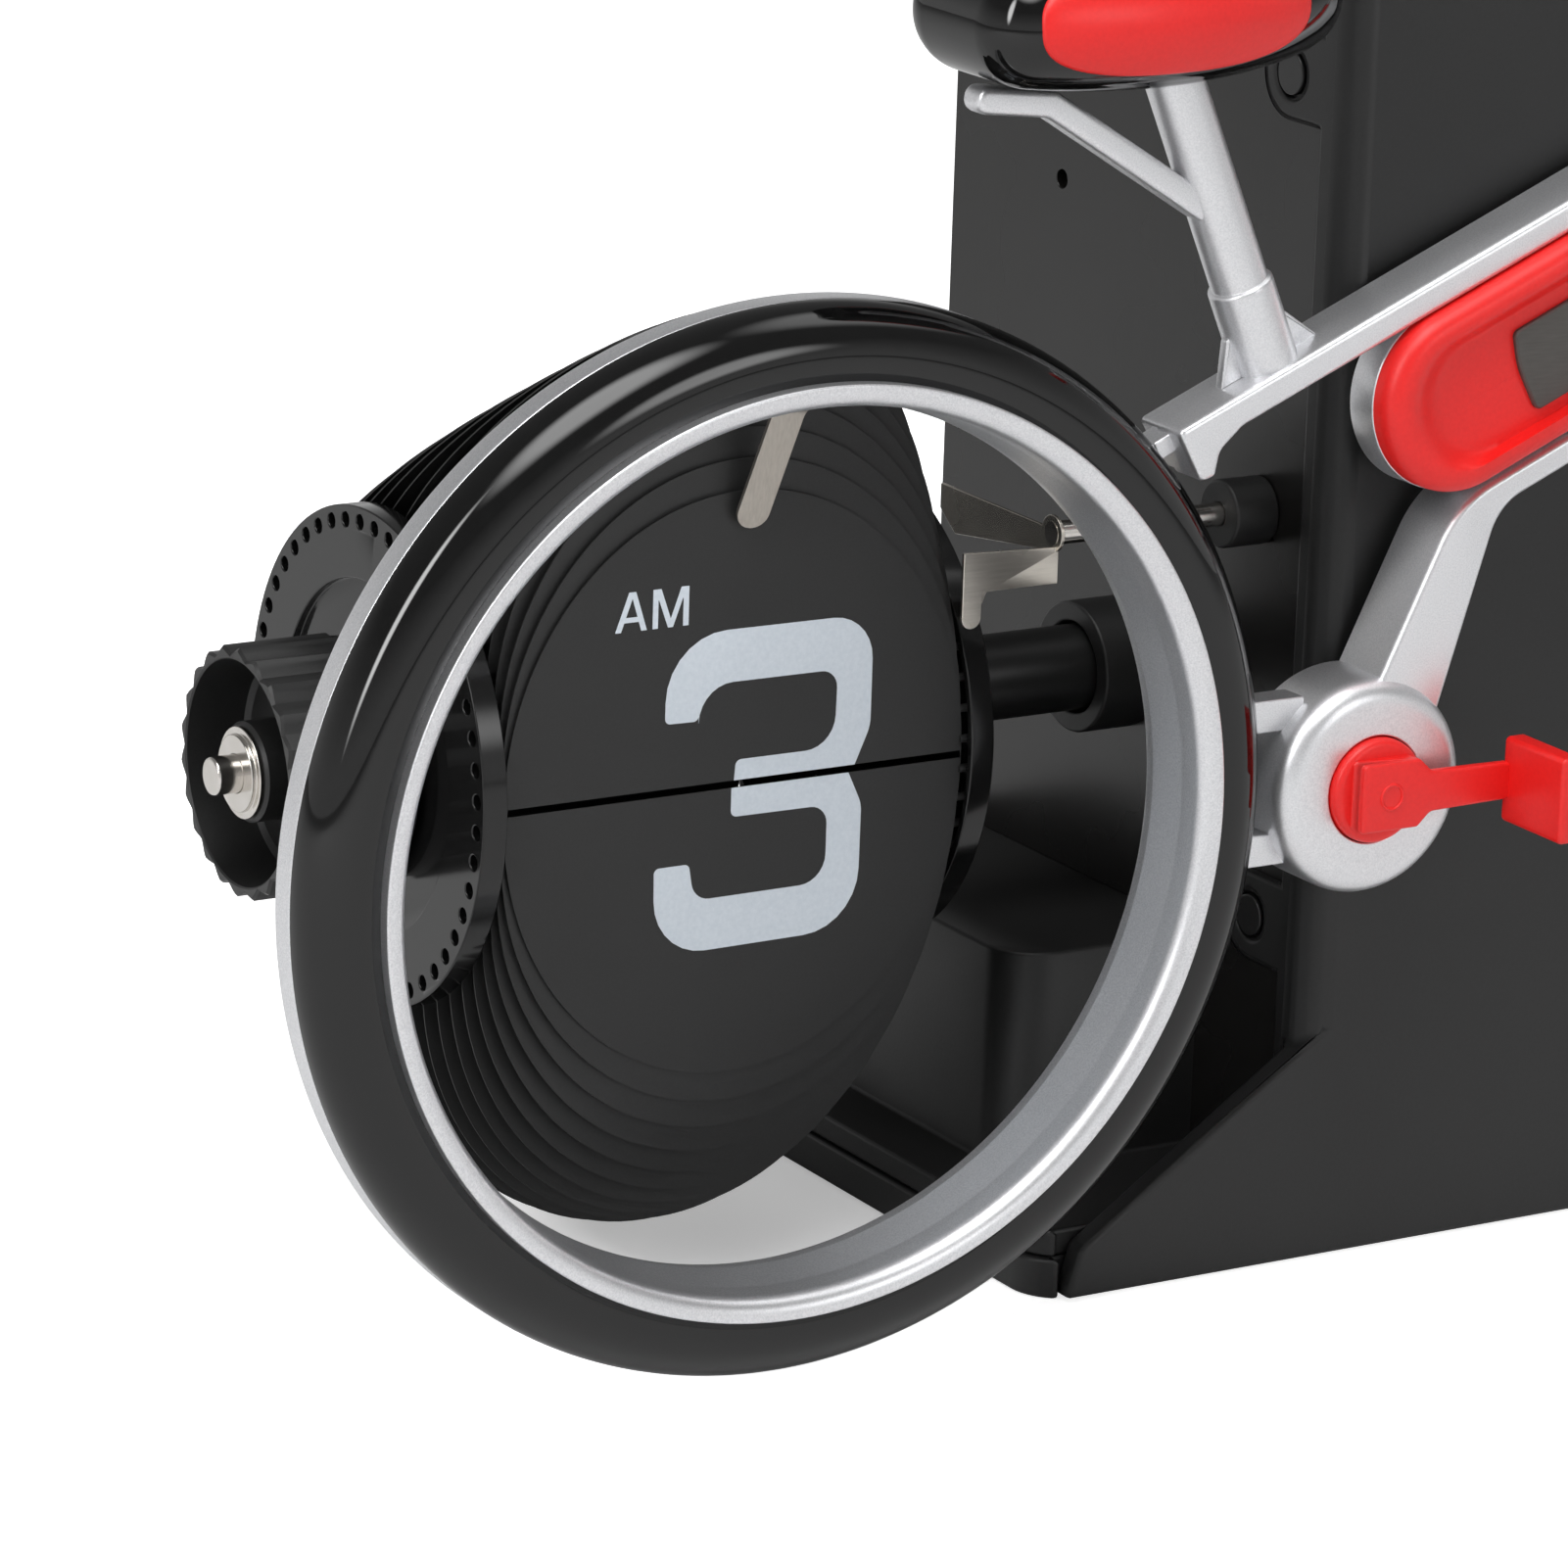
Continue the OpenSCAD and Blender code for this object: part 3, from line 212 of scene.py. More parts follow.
# Catch springs: tilt in degrees, half width, thickness and half length of a knee
SPRING_TILT = 13
SPRING_HW = 2.1
SPRING_T = 0.5
KNEE = 1.0
# Guide rods: radius and how far they enter the edge spring
ROD_R = 1.45
ROD_IN = 0.55
# Drum, wheel, side, number of leaves and the angle up to which the leaves press forward
SIDES = (("hour", "rear", 1, 48, 135), ("minute", "front", -1, 60, 0))


# Mesh tools
EDGE_STEPS = 5
END_STEPS = 24
POST_POINTS = 64


def grid_faces(rows, columns, closed_rows=False, closed_columns=False):
    """Quads of a grid of points, joined end to end where it is closed."""
    row = np.arange(rows if closed_rows else rows - 1)[:, None]
    column = np.arange(columns if closed_columns else columns - 1)[None, :]
    next_row = (row + 1) % rows
    next_column = (column + 1) % columns
    corners = (row * columns + column, next_row * columns + column,
               next_row * columns + next_column, row * columns + next_column)
    return np.stack(corners, -1).reshape(-1, 4)


def rounded(corners, steps=8):
    """Outline through (a, b, radius) corners: each becomes an arc that touches both of its sides."""
    corners = np.array(corners, float)
    place, radius = corners[:, :2], corners[:, 2:]
    back = np.roll(place, 1, 0) - place
    ahead = np.roll(place, -1, 0) - place
    back = back / np.linalg.norm(back, axis=1, keepdims=True)
    ahead = ahead / np.linalg.norm(ahead, axis=1, keepdims=True)
    half = np.arccos(np.clip((back * ahead).sum(1, keepdims=True), -1, 1)) / 2
    middle = back + ahead
    middle = middle / np.maximum(np.linalg.norm(middle, axis=1, keepdims=True), 1e-9)
    centre = place + middle * radius / np.sin(half)
    start = place + back * radius / np.tan(half) - centre
    end = place + ahead * radius / np.tan(half) - centre
    first = np.arctan2(start[:, 1], start[:, 0])
    turn = np.arctan2(end[:, 1], end[:, 0]) - first
    turn = (turn + math.pi) % (2 * math.pi) - math.pi
    angle = first[:, None] + turn[:, None] * np.linspace(0, 1, steps)
    arc = np.stack([np.cos(angle), np.sin(angle)], -1) * radius[:, :, None] + centre[:, None, :]
    outline = arc.reshape(-1, 2)
    area = np.cross(outline, np.roll(outline, -1, 0)).sum()
    return outline if area > 0 else outline[::-1]


def inset(outline, distance):
    """The outline moved inwards, each point along the mitre of its two neighbouring sides."""
    ahead = np.roll(outline, -1, 0) - outline
    ahead = ahead / np.maximum(np.linalg.norm(ahead, axis=1, keepdims=True), 1e-9)
    inward = np.stack([-ahead[:, 1], ahead[:, 0]], -1)
    before = np.roll(inward, 1, 0)
    mitre = (inward + before) / (1 + (inward * before).sum(1, keepdims=True))
    return outline + distance * mitre


def soft_edges(front, back, radius):
    """(inset, depth) steps of a plate whose front and back edges are quarter rounds."""
    angle = np.linspace(0, math.pi / 2, EDGE_STEPS)
    step_in = radius * (1 - np.sin(angle))
    step_back = radius * (1 - np.cos(angle))
    near = np.stack([step_in, front + step_back], -1)
    far = np.stack([step_in, back - step_back], -1)
    return np.concatenate([near, far[::-1]])


def loft(outlines, depths):
    """Outlines in (x, z) with as many points each, joined in turn along Y, with flat end faces."""
    rings = np.stack([np.insert(outline, 1, depth, axis=1) for outline, depth in zip(outlines, depths)])
    levels, count = rings.shape[:2]
    faces = grid_faces(levels, count, closed_columns=True).tolist()
    first = list(range(count))
    last = list(range((levels - 1) * count, levels * count))
    return rings.reshape(-1, 3), faces + [first, last]


def slab(outline, steps):
    """An outline in (x, z) carried through (inset, depth) steps along Y, with flat end faces."""
    steps = np.array(steps, float)
    return loft([inset(outline, distance) for distance in steps[:, 0]], steps[:, 1])


def bar_outline(path, width, radius):
    """Outline of a strip of one width along a path of (a, b) points, mitred and rounded at its bends."""
    path = np.array(path, float)
    ahead = np.diff(path, axis=0)
    ahead = ahead / np.linalg.norm(ahead, axis=1, keepdims=True)
    aside = np.stack([-ahead[:, 1], ahead[:, 0]], -1)
    before = np.concatenate([aside[:1], aside])
    after = np.concatenate([aside, aside[-1:]])
    mitre = (before + after) / (1 + (before * after).sum(1, keepdims=True))
    corners = np.concatenate([path + mitre * width / 2, (path - mitre * width / 2)[::-1]])
    return rounded(np.column_stack([corners, np.full(len(corners), radius)]))


def rectangle(left, right, low, high, radius, steps=8):
    """Outline of a rectangle with four equal round corners."""
    corners = [(left, low, radius), (right, low, radius), (right, high, radius), (left, high, radius)]
    return rounded(corners, steps)


def stadium(first, last, level, radius):
    """Outline of a strip with two half-round ends, whose arcs are a hair apart."""
    return rectangle(first - radius, last + radius, level - radius, level + radius, radius * 0.999,
                     END_STEPS)


def revolve(profile, axis="y", segments=96, closed=False):
    """A profile of (radius, along) points turned once: (r cos a, along, r sin a),
    with X and Y swapped for axis x."""
    profile = np.array(profile, float)
    angle = np.linspace(0, 2 * math.pi, segments, endpoint=False)[None, :]
    radius, along = profile[:, :1], profile[:, 1:] + 0 * angle
    across, up = radius * np.cos(angle), radius * np.sin(angle)
    points = np.stack([across, along, up] if axis == "y" else [along, across, up], -1)
    faces = grid_faces(len(profile), segments, closed, True)
    return points.reshape(-1, 3), faces.tolist()


def moved(shape, matrix):
    """A shape turned by a 3 by 3 matrix and shifted, as (matrix, shift)."""
    turn, shift = matrix
    return np.array(shape[0]) @ np.array(turn, float).T + np.array(shift, float), shape[1]


def tilt(degrees):
    """Turn in the XZ plane that raises +X by this angle."""
    cosine, sine = math.cos(math.radians(degrees)), math.sin(math.radians(degrees))
    return np.array([[cosine, 0, -sine], [0, 1, 0], [sine, 0, cosine]])


# Smallest radius of a turned profile that is rounded at its corners
AXIS = 0.01
UPRIGHT = np.array([[1, 0, 0], [0, 0, -1], [0, 1, 0]])
AT_WHEEL = np.array([-WHEEL_X, LIP_Y, WHEEL_Z])
AT_DRUM = np.array([-WHEEL_X, 0, WHEEL_Z])
SLOPE = (tilt(BEAM_RISE), np.array([BEAM_U, 0, BEAM_W]))
HEAD = (tilt(HEAD_LEAN), np.array([HEAD_U, FRAME_MID, HEAD_W]))
# Points nearer than DOUBLES, in metres, and faces bent less than FLAT are merged; SHARP is in degrees
DOUBLES = 2e-6
FLAT = math.radians(0.5)
SHARP = 32


def put(name, shapes, origin, side, material, slot, *nodes, body=None, sharp=SHARP):
    """One piece from (points, faces) shapes in mm round an origin, mirrored by side: it rides the body
    of the first node that it replaces, or the body that is named."""
    points, faces, start = [], [], 0
    for shape_points, shape_faces in shapes:
        points.append((np.array(shape_points) + origin) * (side, 1, 1) * MM)
        faces += [[start + corner for corner in face] for face in shape_faces]
        start += len(shape_points)
    mesh = bpy.data.meshes.new(name)
    mesh.from_pydata(np.concatenate(points).tolist(), [], faces)
    piece = bpy.data.objects.new(name, mesh)
    bpy.context.scene.collection.objects.link(piece)
    finish_mesh(mesh, sharp, True)
    mesh.materials.append(material)
    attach(piece, body or frame["nodes"][nodes[0]]["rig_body"])
    if nodes:
        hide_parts(*nodes)


def finish_mesh(mesh, sharp, turn_out, cut=False):
    """Merges doubles, then turns the faces outwards or, on a copy of a solid, joins the triangles of each
    flat face and cuts them again where they have windows; shades smooth up to the sharp angle."""
    work = bmesh.new()
    work.from_mesh(mesh)
    bmesh.ops.remove_doubles(work, verts=work.verts, dist=DOUBLES)
    if turn_out:
        bmesh.ops.recalc_face_normals(work, faces=work.faces)
    else:
        bmesh.ops.dissolve_limit(work, angle_limit=FLAT, verts=work.verts, edges=work.edges)
    if cut:
        bmesh.ops.triangulate(work, faces=[face for face in work.faces if len(face.verts) > 4])
    work.to_mesh(mesh)
    work.free()
    mesh.polygons.foreach_set("use_smooth", np.ones(len(mesh.polygons), bool))
    mesh.set_sharp_from_angle(angle=math.radians(sharp))


def corner_places(mesh):
    """The points of a mesh as one array."""
    places = np.empty(len(mesh.vertices) * 3)
    mesh.vertices.foreach_get("co", places)
    return places.reshape(-1, 3)


def keep_in_box(piece):
    """Applies a piece's modifiers and brings back any point that rounding pushed out of the plain box."""
    plain = corner_places(piece.data)
    graph = bpy.context.evaluated_depsgraph_get()
    result = piece.evaluated_get(graph)
    mesh = bpy.data.meshes.new_from_object(result, preserve_all_data_layers=True, depsgraph=graph)
    places = np.clip(corner_places(mesh), plain.min(0), plain.max(0))
    mesh.vertices.foreach_set("co", places.ravel())
    piece.modifiers.clear()
    piece.data = mesh


# Solids with windows in their flat faces: rounding a joined face would close its window
WINDOWED = ("base_housing", "base_plate")
COPY_SHARP = 30
ROUNDED_ANGLE = math.radians(40)
ROUND_STEPS = 2


def dressed(node, material, edge):
    """A merged copy of a solid of the frame with its sharp edges rounded."""
    mesh = frame["nodes"][node].data.copy()
    mesh.name = node + "_finish"
    mesh.materials.clear()
    mesh.materials.append(material)
    finish_mesh(mesh, COPY_SHARP, False, node in WINDOWED)
    piece = bpy.data.objects.new(mesh.name, mesh)
    bpy.context.scene.collection.objects.link(piece)
    bevel = piece.modifiers.new("soft edges", "BEVEL")
    bevel.width = edge * MM
    bevel.segments = ROUND_STEPS
    bevel.limit_method = "ANGLE"
    bevel.angle_limit = ROUNDED_ANGLE
    bevel.use_clamp_overlap = False
    bevel.loop_slide = False
    bevel.harden_normals = True
    keep_in_box(piece)
    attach(piece, frame["nodes"][node]["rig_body"])
    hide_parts(node)


# Materials
def linear(hex_colour):
    """An sRGB hex colour as linear RGBA."""
    channel = np.array([int(hex_colour[k:k + 2], 16) for k in (1, 3, 5)]) / 255
    low, high = channel / 12.92, ((channel + 0.055) / 1.055) ** 2.4
    return (*np.where(channel <= 0.04045, low, high), 1.0)


def add(tree, kind, inputs=None, **settings):
    """Adds a node; each input is a plain value or the socket that feeds it."""
    node = tree.nodes.new(kind)
    for name, value in settings.items():
        setattr(node, name, value)
    for name, value in (inputs or {}).items():
        if isinstance(value, bpy.types.NodeSocket):
            tree.links.new(value, node.inputs[name])
        else:
            node.inputs[name].default_value = value
    return node


def per_mm(size):
    """Texture scale at which one cell of a pattern is this many millimetres."""
    return 1 / (size * MM)


# Size of the clouds in mm, and how much of the noise runs from one colour to the other
CLOUD = 25
GRAIN_SPREAD = 0.25


def finish(name, colours, rough, grain, depth, stretch=(1, 1, 1), metallic=0.0, ior=1.5):
    """A surface with a fine noise of a real grain size, in mm, in its colour and height, and with broad
    clouds in its roughness."""
    material = bpy.data.materials.new(name)
    material.use_nodes = True
    tree = material.node_tree
    tree.nodes.clear()
    where = add(tree, "ShaderNodeTexCoord").outputs["Object"]
    place = add(tree, "ShaderNodeMapping", {"Vector": where, "Scale": stretch}).outputs[0]
    fine = add(tree, "ShaderNodeTexNoise",
               {"Vector": place, "Scale": per_mm(grain), "Detail": 3.0}).outputs[0]
    broad = add(tree, "ShaderNodeTexNoise",
                {"Vector": where, "Scale": per_mm(CLOUD), "Detail": 2.0}).outputs[0]
    colour = add(tree, "ShaderNodeValToRGB", {"Fac": fine})
    colour.color_ramp.elements[0].color = linear(colours[0])
    colour.color_ramp.elements[1].color = linear(colours[1])
    colour.color_ramp.elements[0].position = 0.5 - GRAIN_SPREAD
    colour.color_ramp.elements[1].position = 0.5 + GRAIN_SPREAD
    gloss = add(tree, "ShaderNodeMapRange", {"Value": broad, "From Min": 0.3, "From Max": 0.7,
                                             "To Min": rough[0], "To Max": rough[1]})
    bump = add(tree, "ShaderNodeBump", {"Height": fine, "Strength": 1.0, "Distance": depth * MM})
    shader = add(tree, "ShaderNodeBsdfPrincipled", {
        "Base Color": colour.outputs[0], "Roughness": gloss.outputs[0], "Normal": bump.outputs[0],
        "Metallic": metallic, "IOR": ior})
    add(tree, "ShaderNodeOutputMaterial", {"Surface": shader.outputs[0]})
    return material


# Moulded ABS with a spark-eroded grain: dull black, fine even texture
case_abs = finish("grained_black_abs", ("#171717", "#1c1c1c"), (0.46, 0.52), 0.5, 0.012)
# Black lacquered sheet steel: faint upright rolling lines
plate_steel = finish("black_lacquered_sheet", ("#100f0e", "#151413"), (0.24, 0.30), 0.35, 0.003,
                     (1, 1, 0.06))
# Polished black ABS: deep mirror gloss
gloss_abs = finish("polished_black_abs", ("#080808", "#0c0c0c"), (0.04, 0.06), 2.0, 0.0003, ior=1.52)
# Polished black acetal of the drum discs
disc_acetal = finish("polished_black_acetal", ("#0e0e0e", "#131313"), (0.10, 0.14), 1.0, 0.0005)
# Black acetal of the sleeve: satin
drum_acetal = finish("satin_black_acetal", ("#151515", "#1b1b1b"), (0.32, 0.40), 0.4, 0.004)
# Moulded knob: satin black with a fine grain
knob_abs = finish("satin_black_abs", ("#1c1c1c", "#232323"), (0.36, 0.44), 0.3, 0.006)
# Calendered PVC of the leaves: even, soft sheen
leaf_pvc = finish("matt_black_pvc_sheet", ("#1c1c1c", "#222222"), (0.48, 0.55), 0.3, 0.002)
# Screen-printed ink: pale blue grey, slightly mottled
print_ink = finish("screen_printed_pale_ink", ("#d2dbe4", "#dce4ec"), (0.55, 0.65), 0.5, 0.002)
# Silver lacquer with aluminium flake: satin, a fine sparkle
silver_lacquer = finish("aluminium_flake_lacquer", ("#d8d9dc", "#f2f2f4"), (0.34, 0.40), 0.2, 0.005,
                        metallic=0.88)
# The same lacquer on the rims, with more flake in it
rim_lacquer = finish("dense_flake_lacquer", ("#d4d5d8", "#f2f2f4"), (0.35, 0.40), 0.2, 0.006,
                     metallic=0.93)
# Red ABS, fine satin moulding
red_abs = finish("satin_red_abs", ("#e41917", "#ec211e"), (0.36, 0.42), 0.5, 0.003)
# Cold-rolled spring steel: warm grey, lines along the strip
spring_steel = finish("cold_rolled_spring_steel", ("#d2ccc2", "#e2dcd2"), (0.24, 0.32), 0.3, 0.002,
                      (0.08, 1, 1), metallic=1.0)
# Tumbled spring steel of the catches: darker and duller
catch_steel = finish("tumbled_spring_steel", ("#aaa49c", "#b8b2aa"), (0.36, 0.44), 0.3, 0.002,
                     (1, 1, 0.1), metallic=1.0)
# Turned nickel steel of shafts and clips
turned_steel = finish("turned_nickel_steel", ("#d6d2cb", "#e2deda"), (0.16, 0.22), 0.25, 0.001,
                      (1, 0.1, 0.1), metallic=1.0)
# Moulded acetal gears: cream, slightly waxy
gear_acetal = finish("cream_acetal", ("#c4bdae", "#cfc9bb"), (0.38, 0.46), 0.6, 0.004)
# Rubber foot pads: dull and dark
pad_rubber = finish("black_rubber", ("#131313", "#1a1a1a"), (0.78, 0.86), 0.5, 0.02)
# Solder-masked glass fibre board
board_mask = finish("green_solder_mask", ("#1f4a2e", "#2a5a3a"), (0.25, 0.32), 0.6, 0.003)
# Anodised grey plate let into the red cover
grey_plate = finish("grey_anodised_plate", ("#45423f", "#4e4b48"), (0.38, 0.46), 0.3, 0.002, (0.1, 1, 1))


# Wheels
WHEEL_POINTS = 240


def tyre_shape():
    """Round section cut off by the lip circle inside and by the flange behind, turned round the axle."""
    centre = np.array([WHEEL_R - TYRE_ROUND, TYRE_D])
    first = math.pi + math.acos((centre[0] - LIP_R) / TYRE_ROUND)
    angle = np.linspace(first, 2 * math.pi, 28)
    arc = centre + TYRE_ROUND * np.stack([np.cos(angle), np.sin(angle)], -1)
    inner = [[LIP_R, TYRE_D], [LIP_R, TYRE_D - 2.5]]
    return revolve(np.concatenate([inner, arc]), segments=WHEEL_POINTS, closed=True)


def rim_shape():
    """Rolled lip, throat and flange of the rim as one rounded profile turned round the axle."""
    neck = LIP_R - 3.0
    throat = LIP_R - 3.7
    profile = rounded([
        (LIP_R - LIP_W, 0, LIP_ROLL), (LIP_R, 0, 0.35), (LIP_R, TYRE_D, 0.1), (WHEEL_R, TYRE_D, 0.5),
        (WHEEL_R, RIM_D, 0.6), (throat, RIM_D, 0.4), (throat, RIM_D - 1.6, 0.9), (neck, 4.6, 6.0)], 12)
    return revolve(profile, segments=WHEEL_POINTS, closed=True)


for _, wheel, side, _, _ in SIDES:
    put(wheel + "_tyre_moulding", [tyre_shape()], AT_WHEEL, side, gloss_abs, "black_gloss",
        wheel + "_tyre")
    put(wheel + "_rim_casting", [rim_shape()], AT_WHEEL, side, rim_lacquer, "silver_paint",
        wheel + "_rim")


# Leaves
def leaf_shape(over, low, drop):
    """Half-oval sheet on its pin line, from low up: z = R sin(a) - over, x = share of the half width
    times cos(a), bent by drop times the square of the height, and given its thickness."""
    angle = np.linspace(math.asin((over - low) / LEAF_R), math.pi / 2, 30)[:, None]
    share = np.linspace(-1, 1, 7)[None, :]
    height = LEAF_R * np.sin(angle) - over + 0 * share
    across = LEAF_HW * np.cos(angle) * share
    bend = drop * (height / LEAF_R) ** 2
    faces_at = (-LEAF_T / 2, LEAF_T / 2)
    sheets = [np.stack([across + LEAF_MID, bend + face, height], -1) for face in faces_at]
    rows, columns = height.shape
    count = rows * columns
    flat = grid_faces(rows, columns)
    numbers = np.arange(count).reshape(rows, columns)
    edge = np.concatenate([numbers[0], numbers[1:, -1], numbers[-1, -2::-1], numbers[-2:0:-1, 0]])
    after = np.roll(edge, -1)
    rim = np.stack([edge, after, after + count, edge + count], -1)
    points = np.concatenate(sheets).reshape(-1, 3)
    return points, np.concatenate([flat, flat + count, rim]).tolist()


def pin_shapes():
    """The two hinge pins of a leaf, with rounded ends."""
    near, far = LEAF_HW - PIN_IN, LEAF_HW + PIN_OUT
    profile = [(0, near), (PIN_R, near), (PIN_R, far - 0.2), (PIN_R - 0.2, far), (0, far)]
    right = moved(revolve(profile, "x", 10), (np.eye(3), (LEAF_MID, 0, 0)))
    left = moved(revolve(profile, "x", 10), (np.diag([-1, 1, 1]), (LEAF_MID, 0, 0)))
    return [right, left]


def on_pin(shape, at, angle):
    """A leaf shape on its pin at one angle of the ring, leaning back by another."""
    at, angle = math.radians(at), math.radians(angle)
    cosine, sine = math.cos(angle), math.sin(angle)
    turn = [[1, 0, 0], [0, cosine, sine], [0, -sine, cosine]]
    return moved(shape, (turn, (0, -PIN_RING * math.cos(at), PIN_RING * math.sin(at))))


def lean(at, pitch):
    """A leaf lies on the next one along the ring; past the back it hangs straight down."""
    chord = 2 * PIN_RING * math.sin(math.radians(pitch / 2))
    rest = at + pitch / 2 - math.degrees(math.asin((LEAF_T + LEAF_GAP) / chord))
    return rest if at < 180 else 180


def pack_leans(count, over, press_end):
    """Place, lean and droop of each leaf of a pack: up to press_end a leaf presses forward on the tip of
    the one before it."""
    pitch = 360 / count
    length = LEAF_R - over
    first = math.radians(pitch / 2)
    tip = PIN_RING * np.array([-math.cos(first), math.sin(first)]) + (0, length)
    rows = []
    for number in range(1, count - 1):
        at = (number + 0.5) * pitch
        if at < press_end:
            pin = PIN_RING * np.array([-math.cos(math.radians(at)), math.sin(math.radians(at))])
            ahead = tip - pin
            angle = math.atan2(ahead[0], ahead[1]) + math.asin(LEAF_STEP / np.linalg.norm(ahead))
            tip = pin + length * np.array([math.sin(angle), math.cos(angle)])
            rows.append((at, math.degrees(angle), 0))
        else:
            rows.append((at, lean(at, pitch), droop(at)))
    return rows


def droop(at):
    """How far a leaf's tip bends under its weight: nothing upright or hanging, full when it lies over."""
    return LEAF_DROOP * np.clip(at / 30, 0, 1) * np.clip((180 - at) / 30, 0, 1)


for drum, _, side, count, press_end in SIDES:
    pitch = 360 / count
    over = PIN_RING * math.sin(math.pi / count) - SPLIT / 2
    pack = []
    for at, angle, bend in pack_leans(count, over, press_end):
        for shape in [leaf_shape(over, 0, bend)] + pin_shapes():
            pack.append(on_pin(shape, at, angle))
    put(drum + "_leaf_stack", pack, AT_DRUM, side, leaf_pvc, "leaf_black", drum + "_leaf_pack")
    whole = [leaf_shape(over, over, 0)] + pin_shapes()
    upper = [on_pin(shape, pitch / 2, 0) for shape in whole]
    lower = [on_pin(shape, -pitch / 2, 180) for shape in whole]
    put(drum + "_top_leaf", upper, AT_DRUM, side, leaf_pvc, "leaf_black", drum + "_front_leaf")
    put(drum + "_bottom_leaf", lower, AT_DRUM, side, leaf_pvc, "leaf_black", drum + "_lower_leaf")


# Knobs
def knob_shape():
    """Ridged cup: r = R - depth * triangle wave of the angle outside, round inside, turned about X.
    The profile is (radius, along, share of the ridges)."""
    angle = np.linspace(0, 2 * math.pi, RIDGES * 8, endpoint=False)
    wave = 2 * np.abs(angle * RIDGES / (2 * math.pi) % 1 - 0.5)
    wave = np.clip(wave * 1.16 - 0.08, 0, 1)
    end = KNOB_END
    cup = end + KNOB_CUP
    top = end + KNOB_HUB_TOP
    skirt = KNOB_R - 0.4
    profile = np.array([
        (KNOB_BORE, DISC_OUT, 0), (KNOB_R - 0.9, DISC_OUT, 0), (KNOB_R - 0.5, DISC_OUT - 0.3, 0),
        (skirt, DISC_OUT - 2.6, 0), (skirt, DISC_OUT - 2.6, 0.6), (KNOB_R, DISC_OUT - 3.0, 1),
        (KNOB_R, end + 0.35, 1), (KNOB_R - 0.35, end, 1), (KNOB_WALL + 0.2, end, 0),
        (KNOB_WALL, end + 0.2, 0), (KNOB_WALL - 0.3, cup - 0.6, 0), (KNOB_WALL - 0.9, cup, 0),
        (KNOB_HUB + 0.8, cup, 0), (KNOB_HUB, cup - 0.8, 0), (KNOB_HUB, top + 0.4, 0),
        (KNOB_HUB - 0.4, top, 0), (KNOB_BORE, top, 0)])
    radius = profile[:, :1] - RIDGE_D * profile[:, 2:] * wave
    points = np.stack([profile[:, 1:2] + 0 * radius, -radius * np.cos(angle), radius * np.sin(angle)], -1)
    return points.reshape(-1, 3), grid_faces(len(profile), len(angle), True, True).tolist()


for drum, _, side, _, _ in SIDES:
    put(drum + "_knob_moulding", [knob_shape()], AT_DRUM, side, knob_abs, "black_gloss",
        drum + "_knob", sharp=24)


# Bicycle frame, in the rear wheel's own coordinates
def slope_bar(corners, steps):
    """A slab drawn along the top tube's slope."""
    return moved(slab(rounded(corners), steps), SLOPE)


def upright_round(profile, at, turn):
    """A profile of (radius, up) points turned about an upright axis, then leaned and shifted."""
    points, faces = revolve(profile, segments=POST_POINTS)
    return moved((points @ UPRIGHT.T, faces), (turn, at))


def on_slope(s, n):
    """A point along and across the top tube's slope, in the wheel's upright plane."""
    point = SLOPE[0] @ (s, 0, n) + SLOPE[1]
    return point[0], point[2]


